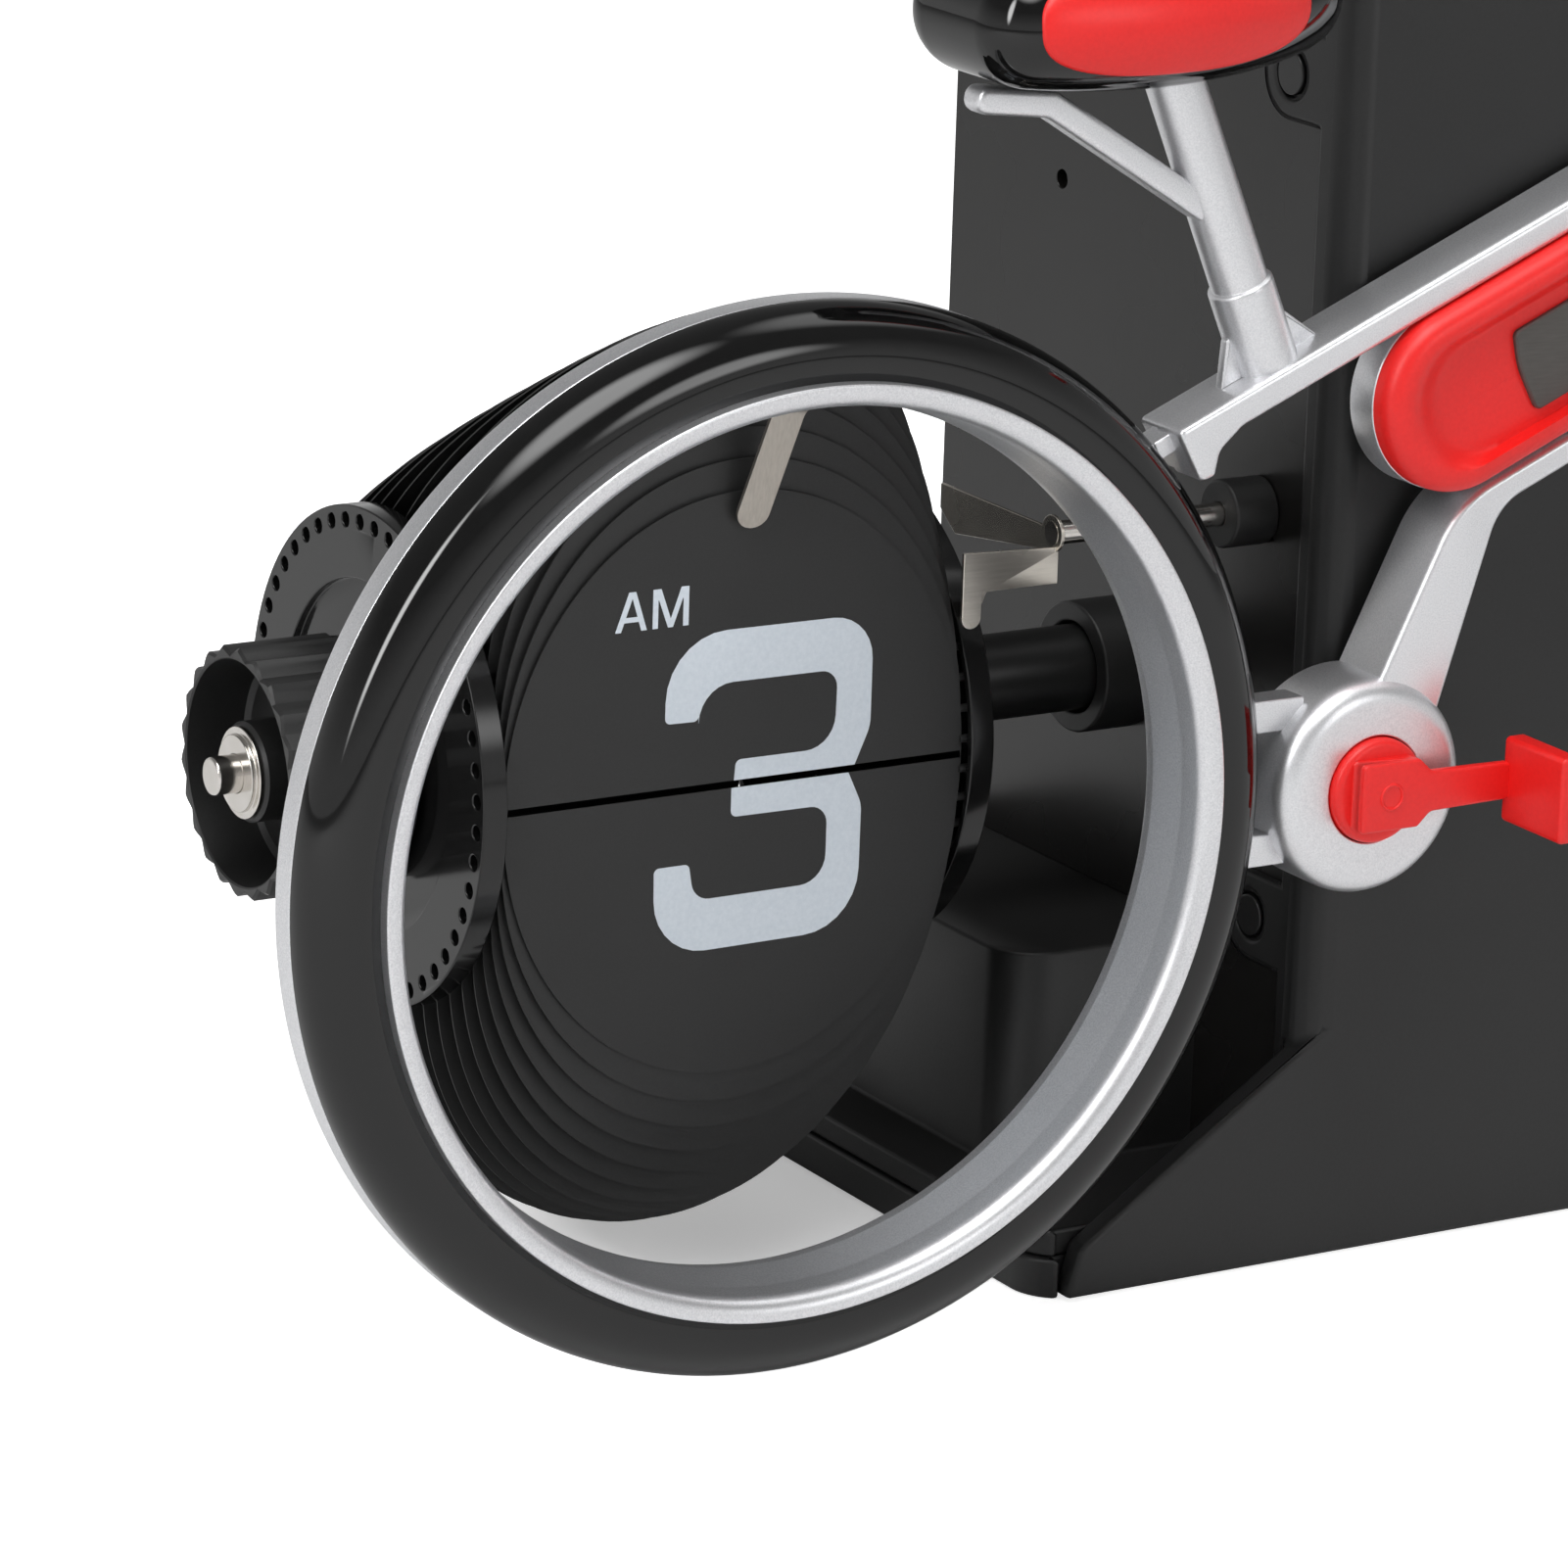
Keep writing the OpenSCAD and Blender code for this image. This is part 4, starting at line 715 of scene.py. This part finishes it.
def frame_shapes():
    """Top tube with a step along its top, cover bed, bent down tube, bracket ring, head tube with two
    bands, stubs to the wheel and posts to the case."""
    front = FRAME_FRONT
    top_tube = slope_bar(
        [(0, 0, 0.9), (0.7, -7.3, 1.3), (2.9, -7.5, 0.8), (4.6, -5.0, 2.2), (8.4, -BEAM_T, 4.0),
         (BEAM_L, -BEAM_T, 0.3), (BEAM_L, 0, 0.3)],
        [(0.75, front), (0.4, front + 0.08), (0.15, front + 0.3), (0, front + 0.8),
         (0, FRAME_MID + 0.4), (0.3, FRAME_MID + 0.55), (0.3, FRAME_BACK - 0.5), (0.8, FRAME_BACK)])
    bed_edge = stadium(COVER_S, COVER_S + COVER_L, COVER_N, COVER_R + 0.1)
    bed = moved(slab(bed_edge, soft_edges(COVER_BACK, BED_BACK, 0.3)), SLOPE)
    tube = rounded([
        (BRACKET[0] - 0.8, BRACKET[1] + 9.0, 0.9), (BRACKET[0] + 9.5, BRACKET[1] + 7.1, 0.9),
        (*on_slope(COVER_S + 1.5, TUBE_LOW), 7), (*on_slope(BEAM_L - 7, TUBE_LOW), 0.9),
        (*on_slope(BEAM_L - 7, TUBE_TOP), 0.9), (*on_slope(COVER_S - 3.9, TUBE_TOP), 14)], 14)
    down_tube = slab(tube, [
        (0.7, front), (0.5, front + 0.06), (0.25, front + 0.28), (0.1, front + 0.55),
        (0.0, front + 0.9), (0.0, FRAME_BACK - 0.3), (0.25, FRAME_BACK)])
    ring = rounded([
        (HUB_R, BRACKET_FRONT, 0.25), (BRACKET_R, BRACKET_FRONT, 3.0), (BRACKET_R, FRAME_BACK, 0.6),
        (BRACKET_BORE, FRAME_BACK, 0.2), (BRACKET_BORE, BRACKET_FLOOR, 0.1),
        (HUB_R, BRACKET_FLOOR, 0.1)], 12)
    bracket = moved(revolve(ring, closed=True), (np.eye(3), (BRACKET[0], 0, BRACKET[1])))
    head = rounded([(HEAD_BORE, -HEAD_HALF, 0.2), (HEAD_R, -HEAD_HALF, 0.5), (HEAD_R, HEAD_HALF, 0.5),
                    (HEAD_BORE, HEAD_HALF, 0.2)])
    head_tube = upright_round(head[::-1], HEAD[1], HEAD[0])
    shapes = [top_tube, bed, down_tube, bracket, head_tube]
    inner, outer = HEAD_R - 0.2, HEAD_R + 0.35
    for low in (0.4 - HEAD_HALF, HEAD_HALF - 2.9):
        band = [(inner, low), (outer, low + 0.3), (outer, low + 2.2), (inner, low + 2.5)]
        shapes.append(upright_round(band, HEAD[1], HEAD[0]))
    wheel_edge = WHEEL_R + 0.1
    for level in STUB_LEVELS:
        low, high = level - STUB_HALF, level + STUB_HALF
        near_low, near_high = (math.sqrt(wheel_edge ** 2 - edge ** 2) for edge in (low, high))
        stub = rounded([(near_low, low, STUB_ROUND), (STUB_END, low, STUB_ROUND),
                        (STUB_END, high, STUB_ROUND), (near_high, high, STUB_ROUND)])
        shapes.append(slab(stub, soft_edges(TYRE_D, RIM_D, 0.3)))
    neck_start = (wheel_edge * math.cos(NECK_AT), wheel_edge * math.sin(NECK_AT))
    neck = bar_outline([neck_start, on_slope(3, -2)], 2.4, STUB_ROUND)
    shapes.append(slab(neck, soft_edges(TYRE_D, RIM_D, 0.3)))
    post_start = BED_BACK - 1
    profile = [(0, post_start), (CASE_POST_R, post_start), (CASE_POST_R, CASE_FRONT), (0, CASE_FRONT)]
    for across, up in ((BRACKET[0] + 8, BRACKET[1]), on_slope(COVER_S + 15, COVER_N),
                       on_slope(COVER_S + COVER_L - 15, COVER_N)):
        post = revolve(profile, segments=32)
        shapes.append(moved(post, (np.eye(3), (across, 0, up))))
    return shapes


def cover_shape():
    """Rounded rim that falls softly to a narrower pocket: outlines blended from the rim to the floor."""
    edge = stadium(COVER_S, COVER_S + COVER_L, COVER_N, COVER_R)
    pocket = stadium(COVER_S + POCKET_IN, COVER_S + COVER_L - POCKET_IN, COVER_N - POCKET_DROP, POCKET_R)
    rings = [edge]
    depths = [COVER_BACK]
    for angle in np.linspace(0, math.pi / 2, 9):
        rings.append(inset(edge, COVER_ROUND * (1 - math.cos(angle))))
        depths.append(COVER_FACE + COVER_ROUND - COVER_ROUND * math.sin(angle))
    crest = inset(edge, COVER_ROUND + 0.5)
    for share in np.linspace(0, 1, 12):
        rings.append(crest + (pocket - crest) * share)
        depths.append(COVER_FACE + COVER_FALL * (3 * share ** 2 - 2 * share ** 3) + 0.15 * share)
    rings.append(inset(pocket, 0.6))
    depths.append(COVER_FLOOR)
    return moved(loft(rings, depths), SLOPE)


def seat_post_shapes():
    """Round post with a shouldered collar, two thin gussets and the flat rail under the saddle."""
    post = rounded([(AXIS, -1, 0), (COLLAR_R, -1, 0.05), (COLLAR_R, COLLAR_TOP, 0.55),
                    (POST_R, COLLAR_TOP + 0.3, 0.15), (POST_R, POST_TOP, 0.3), (AXIS, POST_TOP, 0)], 5)
    at = SLOPE[0] @ (POST_S, FRAME_MID, 0) + SLOPE[1]
    shapes = [upright_round(post[::-1], at, SLOPE[0])]
    gussets = ([(-7.0, -0.2, 0.2), (-3.5, -0.2, 0.1), (-3.5, 5.4, 0.2), (-4.3, 5.0, 0.6)],
               [(3.5, -0.2, 0.1), (7.4, -0.2, 0.2), (4.3, 4.6, 0.6), (3.5, 5.0, 0.2)])
    for corners in gussets:
        corners = [(POST_S + along, up, radius) for along, up, radius in corners]
        steps = soft_edges(FRAME_MID - GUSSET_HALF, FRAME_MID + GUSSET_HALF, 0.25)
        shapes.append(slope_bar(corners, steps))
    rail = bar_outline([RAIL_TIP, RAIL_TIP + (10, -1.1), on_slope(POST_S, RAIL_JOIN)], RAIL_T, 1.5)
    shapes.append(slab(rail, soft_edges(FRAME_MID - RAIL_HALF, FRAME_MID + RAIL_HALF, 0.9)))
    return shapes


def crank_shapes():
    """Hub disc, square boss with a raised bead, waisted arm, a thin pedal plate and the axle."""
    hub = rounded([(AXIS, CRANK_FRONT, 0), (CRANK_R, CRANK_FRONT, 1.0), (CRANK_R, CRANK_BACK, 0.3),
                   (AXIS, CRANK_BACK, 0)], 6)
    upper = [(ARM_L, ARM_HALF, 0.45), (5.8, 2.5, 1.4), (4.0, BOSS_HALF, BOSS_ROUND),
             (-BOSS_HALF, BOSS_HALF, BOSS_ROUND)]
    lower = [(along, -up, radius) for along, up, radius in reversed(upper)]
    arm = rounded(lower + upper)
    boss = rectangle(-BOSS_HALF, BOSS_HALF, -BOSS_HALF, BOSS_HALF, BOSS_ROUND)
    turn = np.linspace(0, 2 * math.pi, 12, endpoint=False)
    bead = np.stack([BEAD_RING + BEAD_R * np.cos(turn), ARM_FRONT + BEAD_R * np.sin(turn)], -1)
    pedal = rectangle(PEDAL_IN, PEDAL_OUT, -PEDAL_HALF, PEDAL_HALF, 0.7)
    axle_back = FRAME_BACK - 0.5
    axle = [(0, AXLE_FRONT), (AXLE_R, AXLE_FRONT), (AXLE_R, axle_back), (0, axle_back)]
    shapes = [revolve(hub), slab(arm, soft_edges(ARM_FRONT, ARM_BACK, 0.4)),
              slab(boss, [(0, 0.6), (0, 2.5)]), revolve(bead, segments=40, closed=True),
              slab(pedal, soft_edges(PEDAL_FRONT, ARM_BACK, 0.6)), revolve(axle, segments=32)]
    return [moved(shape, (np.eye(3), (BRACKET[0], 0, BRACKET[1]))) for shape in shapes]


put("frame_casting", frame_shapes(), AT_WHEEL, 1, silver_lacquer, "silver_paint", "frame")
put("cover_moulding", [cover_shape()], AT_WHEEL, 1, red_abs, "red_gloss", "frame_cover")
INSET = rounded([(INSET_START + 0.8, INSET_TOP, 0.9), (INSET_START, -15.4, 12),
                 (INSET_START + 0.6, INSET_LOW, 0.9), (INSET_END, INSET_LOW, 2.5),
                 (INSET_END, INSET_TOP, 2.5)])
INSET_STEPS = [(0.9, 3.95), (0.2, 4.05), (0, 4.3), (0, 4.9)]
put("inset_plate", [moved(slab(INSET, INSET_STEPS), SLOPE)], AT_WHEEL, 1, grey_plate, "inset_grey",
    "cover_plate")
put("seat_post_casting", seat_post_shapes(), AT_WHEEL, 1, silver_lacquer, "silver_paint", "seat_post")
put("crank_moulding", crank_shapes(), AT_WHEEL, 1, red_abs, "red_gloss", "crank")


# Saddle: a rounded wedge whose section is a stadium, wide at the back and round at the nose
def saddle_section(u):
    """Half straight width, end radius and middle height of the saddle's section at a place along it:
    the widest reach of any of the balls strung between the stations, whose radius and spread are
    parabolas through the stations."""
    centre = np.linspace(SADDLE_U[0], SADDLE_U[-1], 400)
    radius = np.polyval(np.polyfit(SADDLE_U, SADDLE_R, 2), centre)
    spread = np.polyval(np.polyfit(SADDLE_U, SADDLE_HALF, 2), centre)
    u = np.asarray(u, float)
    reach = np.sqrt(np.maximum(radius ** 2 - (u[..., None] - centre) ** 2, 0))
    tall = reach.max(-1)
    wide = np.where(reach > 0, reach + spread, 0).max(-1)
    return np.maximum(wide - tall, 0), tall, np.interp(u, SADDLE_U, SADDLE_W)


def saddle_shape():
    """Stadium sections swept along the saddle: y = half sign(cos a) + r cos a, z = middle + r sin a."""
    end = np.linspace(math.pi / 2, 0, 22)
    back = SADDLE_U[0] - SADDLE_R[0] * np.sin(end)
    nose = SADDLE_U[-1] + SADDLE_R[-1] * np.sin(end[::-1])
    along = np.concatenate([back, np.linspace(SADDLE_U[0], SADDLE_U[-1], 40)[1:-1], nose])[:, None]
    turn = np.linspace(0, 2 * math.pi, SADDLE_POINTS, endpoint=False)[None, :] + math.pi / SADDLE_POINTS
    half, radius, middle = saddle_section(along)
    seam = 1 - SEAM_D * np.exp(-((np.sin(turn) - SEAM_AT) / SEAM_W) ** 2)
    across = FRAME_MID + half * np.sign(np.cos(turn)) + radius * seam * np.cos(turn)
    points = np.stack([along + 0 * turn, across, middle + radius * seam * np.sin(turn)], -1)
    return points.reshape(-1, 3), grid_faces(len(along), SADDLE_POINTS, closed_columns=True).tolist()


def panel_shape(hand):
    """Superellipse patch on the saddle's side, lifted a little and turned in at its edge."""
    turn = np.linspace(0, 2 * math.pi, 128, endpoint=False)[None, :]
    share = np.array([0.0, 0.25, 0.5, 0.75, 0.9, 0.96, 0.985, 1.0, 1.0, 0.9])[:, None]
    lift = np.array([0.35, 0.35, 0.35, 0.35, 0.35, 0.33, 0.24, 0.0, -0.8, -0.9])[:, None]
    edge_u = PANEL_HALF[0] * np.sign(np.cos(turn)) * np.abs(np.cos(turn)) ** PANEL_POWER
    edge_w = PANEL_HALF[1] * np.sign(np.sin(turn)) * np.abs(np.sin(turn)) ** PANEL_POWER
    u = PANEL_AT[0] + share * edge_u
    w = PANEL_AT[1] + share * edge_w
    half, radius, middle = saddle_section(u)
    reach = half + np.sqrt(np.maximum(radius ** 2 - (w - middle) ** 2, 0.05)) + lift
    points = np.stack([u, FRAME_MID + hand * reach, w], -1)
    return points.reshape(-1, 3), grid_faces(len(share), 128, closed_columns=True).tolist()


put("saddle_moulding", [saddle_shape()], AT_WHEEL, 1, gloss_abs, "black_gloss", "saddle_shell", sharp=60)
put("saddle_side_panels", [panel_shape(-1), panel_shape(1)], AT_WHEEL, 1, red_abs, "red_gloss",
    "saddle_panels", sharp=50)


# Digits: thin prisms of ink on the two front leaves of the hour drum
def ink_shape(corners):
    """A rounded outline carried straight back to the face of the leaf."""
    return slab(rounded(corners), [(0, LEAF_FACE - INK), (0, LEAF_FACE)])


INK = 0.05
HALF_PITCH = math.radians(180 / SIDES[0][3])
LEAF_FACE = -PIN_RING * math.cos(HALF_PITCH) - LEAF_T / 2
THREE_UPPER = [
    (6.9, 0.45, 0.05), (7.1, 2.95, 0.8), (20.5, 2.9, 4), (20.7, 12.4, 2.2), (1.9, 12.5, 4.5),
    (1.9, 8.2, 0.7), (-2.6, 8.3, 0.7), (-2.6, 18.9, 8), (25.4, 18.7, 5.5), (25.4, 5, 5),
    (23.4, 0.45, 0.05)]
THREE_LOWER = [
    (6.6, -0.45, 0.05), (22.6, -0.45, 0.05), (24.5, -4.5, 4), (24.4, -19.8, 7.5), (-3.4, -20, 7),
    (-3.6, -9.1, 0.7), (1.1, -9.1, 0.7), (1.9, -13.65, 2.5), (19.8, -13.6, 3.5), (19.8, -4.1, 2.3),
    (6.6, -4, 0.8)]
LETTERS = [
    [(-9.55, 20, 0.05), (-8.8, 20, 0.05), (-7.35, 23.95, 0.05), (-7.35, 24.7, 0.05), (-7.8, 24.7, 0.05)],
    [(-5.36, 20, 0.05), (-6.1, 20, 0.05), (-7.35, 23.95, 0.05), (-7.35, 24.7, 0.05), (-6.9, 24.7, 0.05)],
    [(-8.4, 21.1, 0.02), (-6.45, 21.1, 0.02), (-6.65, 21.7, 0.02), (-8.18, 21.7, 0.02)],
    [(-4.6, 20, 0.05), (-3.9, 20, 0.05), (-3.9, 23.6, 0.05), (-2.55, 20, 0.05), (-1.9, 20, 0.05),
     (-0.55, 23.6, 0.05), (-0.55, 20, 0.05), (0.17, 20, 0.05), (0.17, 24.7, 0.05), (-0.85, 24.7, 0.05),
     (-2.2, 21.0, 0.05), (-3.55, 24.7, 0.05), (-4.6, 24.7, 0.05)]]
upper_ink = [ink_shape(outline) for outline in [THREE_UPPER] + LETTERS]
put("hour_digit_upper", upper_ink, AT_DRUM, 1, print_ink, "leaf_black",
    body=frame["nodes"]["hour_front_leaf"]["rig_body"])
put("hour_digit_lower", [ink_shape(THREE_LOWER)], AT_DRUM, 1, print_ink, "leaf_black",
    body=frame["nodes"]["hour_lower_leaf"]["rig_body"])


# Guide rods, and catch springs as a strip bent over its knees, with a round tip
def flap_spring_shape():
    """Rectangle sections along the path of (depth, radius) points, rounded over the knees: at the tip the
    half width is hw sqrt(1 - (1 - s/hw)^2)."""
    tip_y = -PIN_RING - LEAF_T - 1.1 - LIP_Y
    path = np.array([(tip_y + 0.5, 32.0), (tip_y, 33.4), (tip_y - 2.8, 47), (RIM_D, 55.6),
                     (RIM_D, 61.6)])
    along = np.concatenate([[0], np.cumsum(np.linalg.norm(np.diff(path, axis=0), axis=1))])
    tip_steps = SPRING_HW * (1 - np.cos(np.linspace(0.15, math.pi / 2, 9)))
    steps = np.concatenate([tip_steps, np.linspace(2.4, along[-1], 80)])
    window = np.minimum(np.minimum(steps, along[-1] - steps), KNEE)[:, None] * np.linspace(-1, 1, 15)
    near = steps[:, None] + window
    place = np.stack([np.interp(near, along, path[:, k]).mean(1) for k in (0, 1)], -1)
    ahead = np.gradient(place, axis=0)
    ahead = ahead / np.linalg.norm(ahead, axis=1, keepdims=True)
    normal = np.stack([ahead[:, 1], -ahead[:, 0]], -1)
    half = SPRING_HW * np.sqrt(1 - np.clip(1 - steps / SPRING_HW, 0, 1) ** 2)
    corners = []
    for across, lift in ((-1, -1), (1, -1), (1, 1), (-1, 1)):
        edge = place + normal * lift * SPRING_T / 2
        corners.append(np.stack([across * half, edge[:, 0], edge[:, 1]], -1))
    rings = np.stack(corners, 1)
    faces = grid_faces(len(steps), 4, closed_columns=True).tolist()
    ends = [[0, 1, 2, 3], [4 * len(steps) - 4 + k for k in range(4)]]
    return moved((rings.reshape(-1, 3), faces + ends), (tilt(-SPRING_TILT), (0, 0, 0)))


def guide_rod_shape(drum, side):
    """A plain round rod from the edge spring to the far end of the solid's rod."""
    low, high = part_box(drum + "_guide_rod")
    plate_low, plate_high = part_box(drum + "_edge_spring")
    start = max(side * plate_low.x, side * plate_high.x) / MM - ROD_IN
    end = max(side * low.x, side * high.x) / MM
    profile = [(AXIS, start), (ROD_R, start), (ROD_R, end), (AXIS, end)]
    middle = (0, (low.y + high.y) / 2 / MM, (low.z + high.z) / 2 / MM)
    return moved(revolve(profile, "x", 48), (np.eye(3), middle))


for drum, _, side, _, _ in SIDES:
    put(drum + "_guide_bar", [guide_rod_shape(drum, side)], 0, side, turned_steel, "steel",
        drum + "_guide_rod")
    put(drum + "_catch_strip", [flap_spring_shape()], AT_WHEEL, side, catch_steel, "steel",
        drum + "_flap_spring")


# Camera at the photograph's angle: the middle of the rear wheel's lip falls on LIP_PIXEL
IMAGE = 1601
YAW, PITCH, ROLL = np.radians([31.03, 16.03, 1.79])
LENS, SENSOR = 161.81, 36.0
LIP_PIXEL = (837.9, 879.6)
LIP_DISTANCE = 796.2


def aim_camera():
    """Camera axes from yaw, pitch and roll; its place is set back from the lip's middle along them."""
    focal = LENS / SENSOR * IMAGE
    right = np.array([math.cos(YAW), -math.sin(YAW), 0])
    ahead = np.array([math.sin(YAW) * math.cos(PITCH), math.cos(YAW) * math.cos(PITCH), -math.sin(PITCH)])
    up = np.cross(right, ahead)
    rolled_right = math.cos(ROLL) * right + math.sin(ROLL) * up
    rolled_up = math.cos(ROLL) * up - math.sin(ROLL) * right
    aside = (LIP_PIXEL[0] - IMAGE / 2) * LIP_DISTANCE / focal
    below = (LIP_PIXEL[1] - IMAGE / 2) * LIP_DISTANCE / focal
    place = AT_WHEEL - aside * rolled_right + below * rolled_up - LIP_DISTANCE * ahead
    data = bpy.data.cameras.new("camera")
    data.lens, data.sensor_width = LENS, SENSOR
    data.clip_start, data.clip_end = 0.05, 50
    camera = bpy.data.objects.new("camera", data)
    axes = np.column_stack([rolled_right, rolled_up, -ahead])
    camera.matrix_world = Matrix(axes.tolist()).to_4x4()
    camera.location = (place * MM).tolist()
    bpy.context.scene.collection.objects.link(camera)
    bpy.context.scene.camera = camera


aim_camera()


# Case, drums, fork and handlebar: the frame's own solids with softened edges
for node, material, slot, edge in (
        ("front_housing", case_abs, "case_black", 0.8),
        ("base_housing", case_abs, "case_black", 0.5),
        ("base_plate", case_abs, "case_black", 0.5),
        ("rear_cover", case_abs, "case_black", 0.3),
        ("battery_door", case_abs, "case_black", 0.3),
        ("base_pads", pad_rubber, "pad_rubber", 0.3),
        ("side_plate_left", plate_steel, "plate_black", 0.15),
        ("side_plate_right", plate_steel, "plate_black", 0.15),
        ("screws", drum_acetal, "steel", 0.2)):
    dressed(node, material, edge)
for drum, *_ in SIDES:
    for part, material, slot, edge in (
            ("_outer_disc", disc_acetal, "black_gloss", 0.2),
            ("_inner_disc", disc_acetal, "black_gloss", 0.2),
            ("_sleeve", drum_acetal, "black_gloss", 0.3),
            ("_bearing", case_abs, "case_black", 0.4),
            ("_shaft", turned_steel, "steel", 0.4),
            ("_clip", turned_steel, "steel", 0.15),
            ("_edge_spring", spring_steel, "steel", 0.1)):
        dressed(drum + part, material, edge)
for node, material, slot, edge in (
        ("fork", silver_lacquer, "silver_paint", 0.4),
        ("handlebar", silver_lacquer, "silver_paint", 0.4),
        ("grips", red_abs, "red_gloss", 0.4)):
    dressed(node, material, edge)
# Inner parts keep the frame's own solids and only get a material
INNER = {
    "gear_chassis": turned_steel, "drive_motor": turned_steel, "motor_pinion": turned_steel,
    "counter_shaft": turned_steel, "counter_gear": gear_acetal, "hour_gear": gear_acetal,
    "minute_gear": gear_acetal, "circuit_board": board_mask, "battery_tray": case_abs,
    "battery_cells": red_abs}
for node, material in INNER.items():
    frame["nodes"][node].data.materials.clear()
    frame["nodes"][node].data.materials.append(material)


# Stage, in metres: a pale floor with a painted shadow under the rear wheel, soft boxes and a white
# surround
FLOOR_HALF = 6.0
# Painted shadow on the floor: between SHADE_FROM and SHADE_TO metres from SHADE_PLACE the glow to the
# camera rises from SHADE_GLOW to PAPER_GLOW
SHADE_PLACE = (-0.09, 0, 0)
SHADE_FROM = 0.026
SHADE_TO = 0.048
# Strengths of glow: the floor's painted shadow patch and the paper to the camera, the surround near the
# horizon and overhead
SHADE_GLOW = 0.34
PAPER_GLOW = 0.85
HORIZON_GLOW = 0.68
OVERHEAD_GLOW = 0.2


def lay_floor():
    """A wide flat sheet under the clock, with a painted shadow under the rear wheel: a round patch where
    its glow to the camera is lower.
    """
    corners = [(across * FLOOR_HALF, along * FLOOR_HALF, 0)
               for across, along in ((-1, -1), (1, -1), (1, 1), (-1, 1))]
    mesh = bpy.data.meshes.new("floor")
    mesh.from_pydata(corners, [], [(0, 1, 2, 3)])
    floor = bpy.data.objects.new("floor", mesh)
    bpy.context.scene.collection.objects.link(floor)
    material = bpy.data.materials.new("white_paper_with_painted_shadow")
    material.use_nodes = True
    tree = material.node_tree
    tree.nodes.clear()
    path = add(tree, "ShaderNodeLightPath")
    where = add(tree, "ShaderNodeTexCoord").outputs["Object"]
    reach = add(tree, "ShaderNodeVectorMath", {0: where, 1: SHADE_PLACE}, operation="DISTANCE")
    # Glow to the camera, lower near SHADE_PLACE: a painted shadow
    level = add(tree, "ShaderNodeMapRange", {
        "Value": reach.outputs["Value"], "From Min": SHADE_FROM, "From Max": SHADE_TO,
        "To Min": SHADE_GLOW, "To Max": PAPER_GLOW}).outputs[0]
    glow = add(tree, "ShaderNodeMath", {0: path.outputs["Is Camera Ray"], 1: level}, operation="MULTIPLY")
    paper = add(tree, "ShaderNodeBsdfDiffuse", {"Color": linear("#f2f2f2")})
    lit = add(tree, "ShaderNodeEmission", {"Color": (1, 1, 1, 1), "Strength": glow.outputs[0]})
    both = add(tree, "ShaderNodeAddShader", {0: paper.outputs[0], 1: lit.outputs[0]})
    add(tree, "ShaderNodeOutputMaterial", {"Surface": both.outputs[0]})
    mesh.materials.append(material)


def soft_box(name, place, target, size, power, gloss_only=False):
    """A rectangular lamp that faces a target point and fades towards its edges."""
    data = bpy.data.lights.new(name, "AREA")
    data.shape = "RECTANGLE"
    data.size, data.size_y = size
    data.energy = power
    data.use_nodes = True
    tree = data.node_tree
    tree.nodes.clear()
    across = add(tree, "ShaderNodeNewGeometry").outputs["Parametric"]
    reach = add(tree, "ShaderNodeVectorMath", {0: across, 1: (0.5, 0.5, 0)}, operation="DISTANCE")
    fade = add(tree, "ShaderNodeMapRange", {
        "Value": reach.outputs["Value"], "From Min": 0.2, "From Max": 0.5,
        "To Min": 1.6, "To Max": 0.0}, interpolation_type="SMOOTHSTEP")
    glow = add(tree, "ShaderNodeEmission", {"Strength": fade.outputs[0]})
    add(tree, "ShaderNodeOutputLight", {"Surface": glow.outputs[0]})
    lamp = bpy.data.objects.new(name, data)
    direction = np.array(target) - np.array(place)
    lamp.location = place
    lamp.rotation_mode = "QUATERNION"
    lamp.rotation_quaternion = Vector(direction).to_track_quat("-Z", "Y")
    bpy.context.scene.collection.objects.link(lamp)
    lamp.visible_diffuse = not gloss_only


def surround():
    """White where the camera sees it, pale near the horizon and dim overhead for light and mirrors."""
    world = bpy.data.worlds.new("studio")
    bpy.context.scene.world = world
    world.use_nodes = True
    tree = world.node_tree
    tree.nodes.clear()
    where = add(tree, "ShaderNodeTexCoord").outputs["Generated"]
    height = add(tree, "ShaderNodeSeparateXYZ", {"Vector": where}).outputs["Z"]
    level = add(tree, "ShaderNodeMapRange", {"Value": height, "From Min": 0.1, "From Max": 0.5,
                                             "To Min": HORIZON_GLOW, "To Max": OVERHEAD_GLOW})
    path = add(tree, "ShaderNodeLightPath")
    seen = add(tree, "ShaderNodeMath", {0: path.outputs["Is Camera Ray"], 1: level.outputs[0]},
               operation="MAXIMUM")
    back = add(tree, "ShaderNodeBackground", {"Color": (1, 1, 1, 1), "Strength": seen.outputs[0]})
    add(tree, "ShaderNodeOutputWorld", {"Surface": back.outputs[0]})


lay_floor()
surround()
soft_box("top_box", (-0.4, -0.5, 1.7), (-0.1, 0, 0.05), (1.6, 1.6), 29)
soft_box("left_strip", (-1.3, -0.5, 0.9), (-0.12, 0, 0.08), (0.3, 1.5), 11)
soft_box("front_fill", (0.5, -1.7, 0.8), (0, 0, 0.08), (0.9, 0.9), 6)
soft_box("right_top_box", (0.75, -0.1, 1.4), (0, 0, 0.07), (1.2, 1.2), 5, True)
bpy.context.scene.view_settings.view_transform = "Standard"
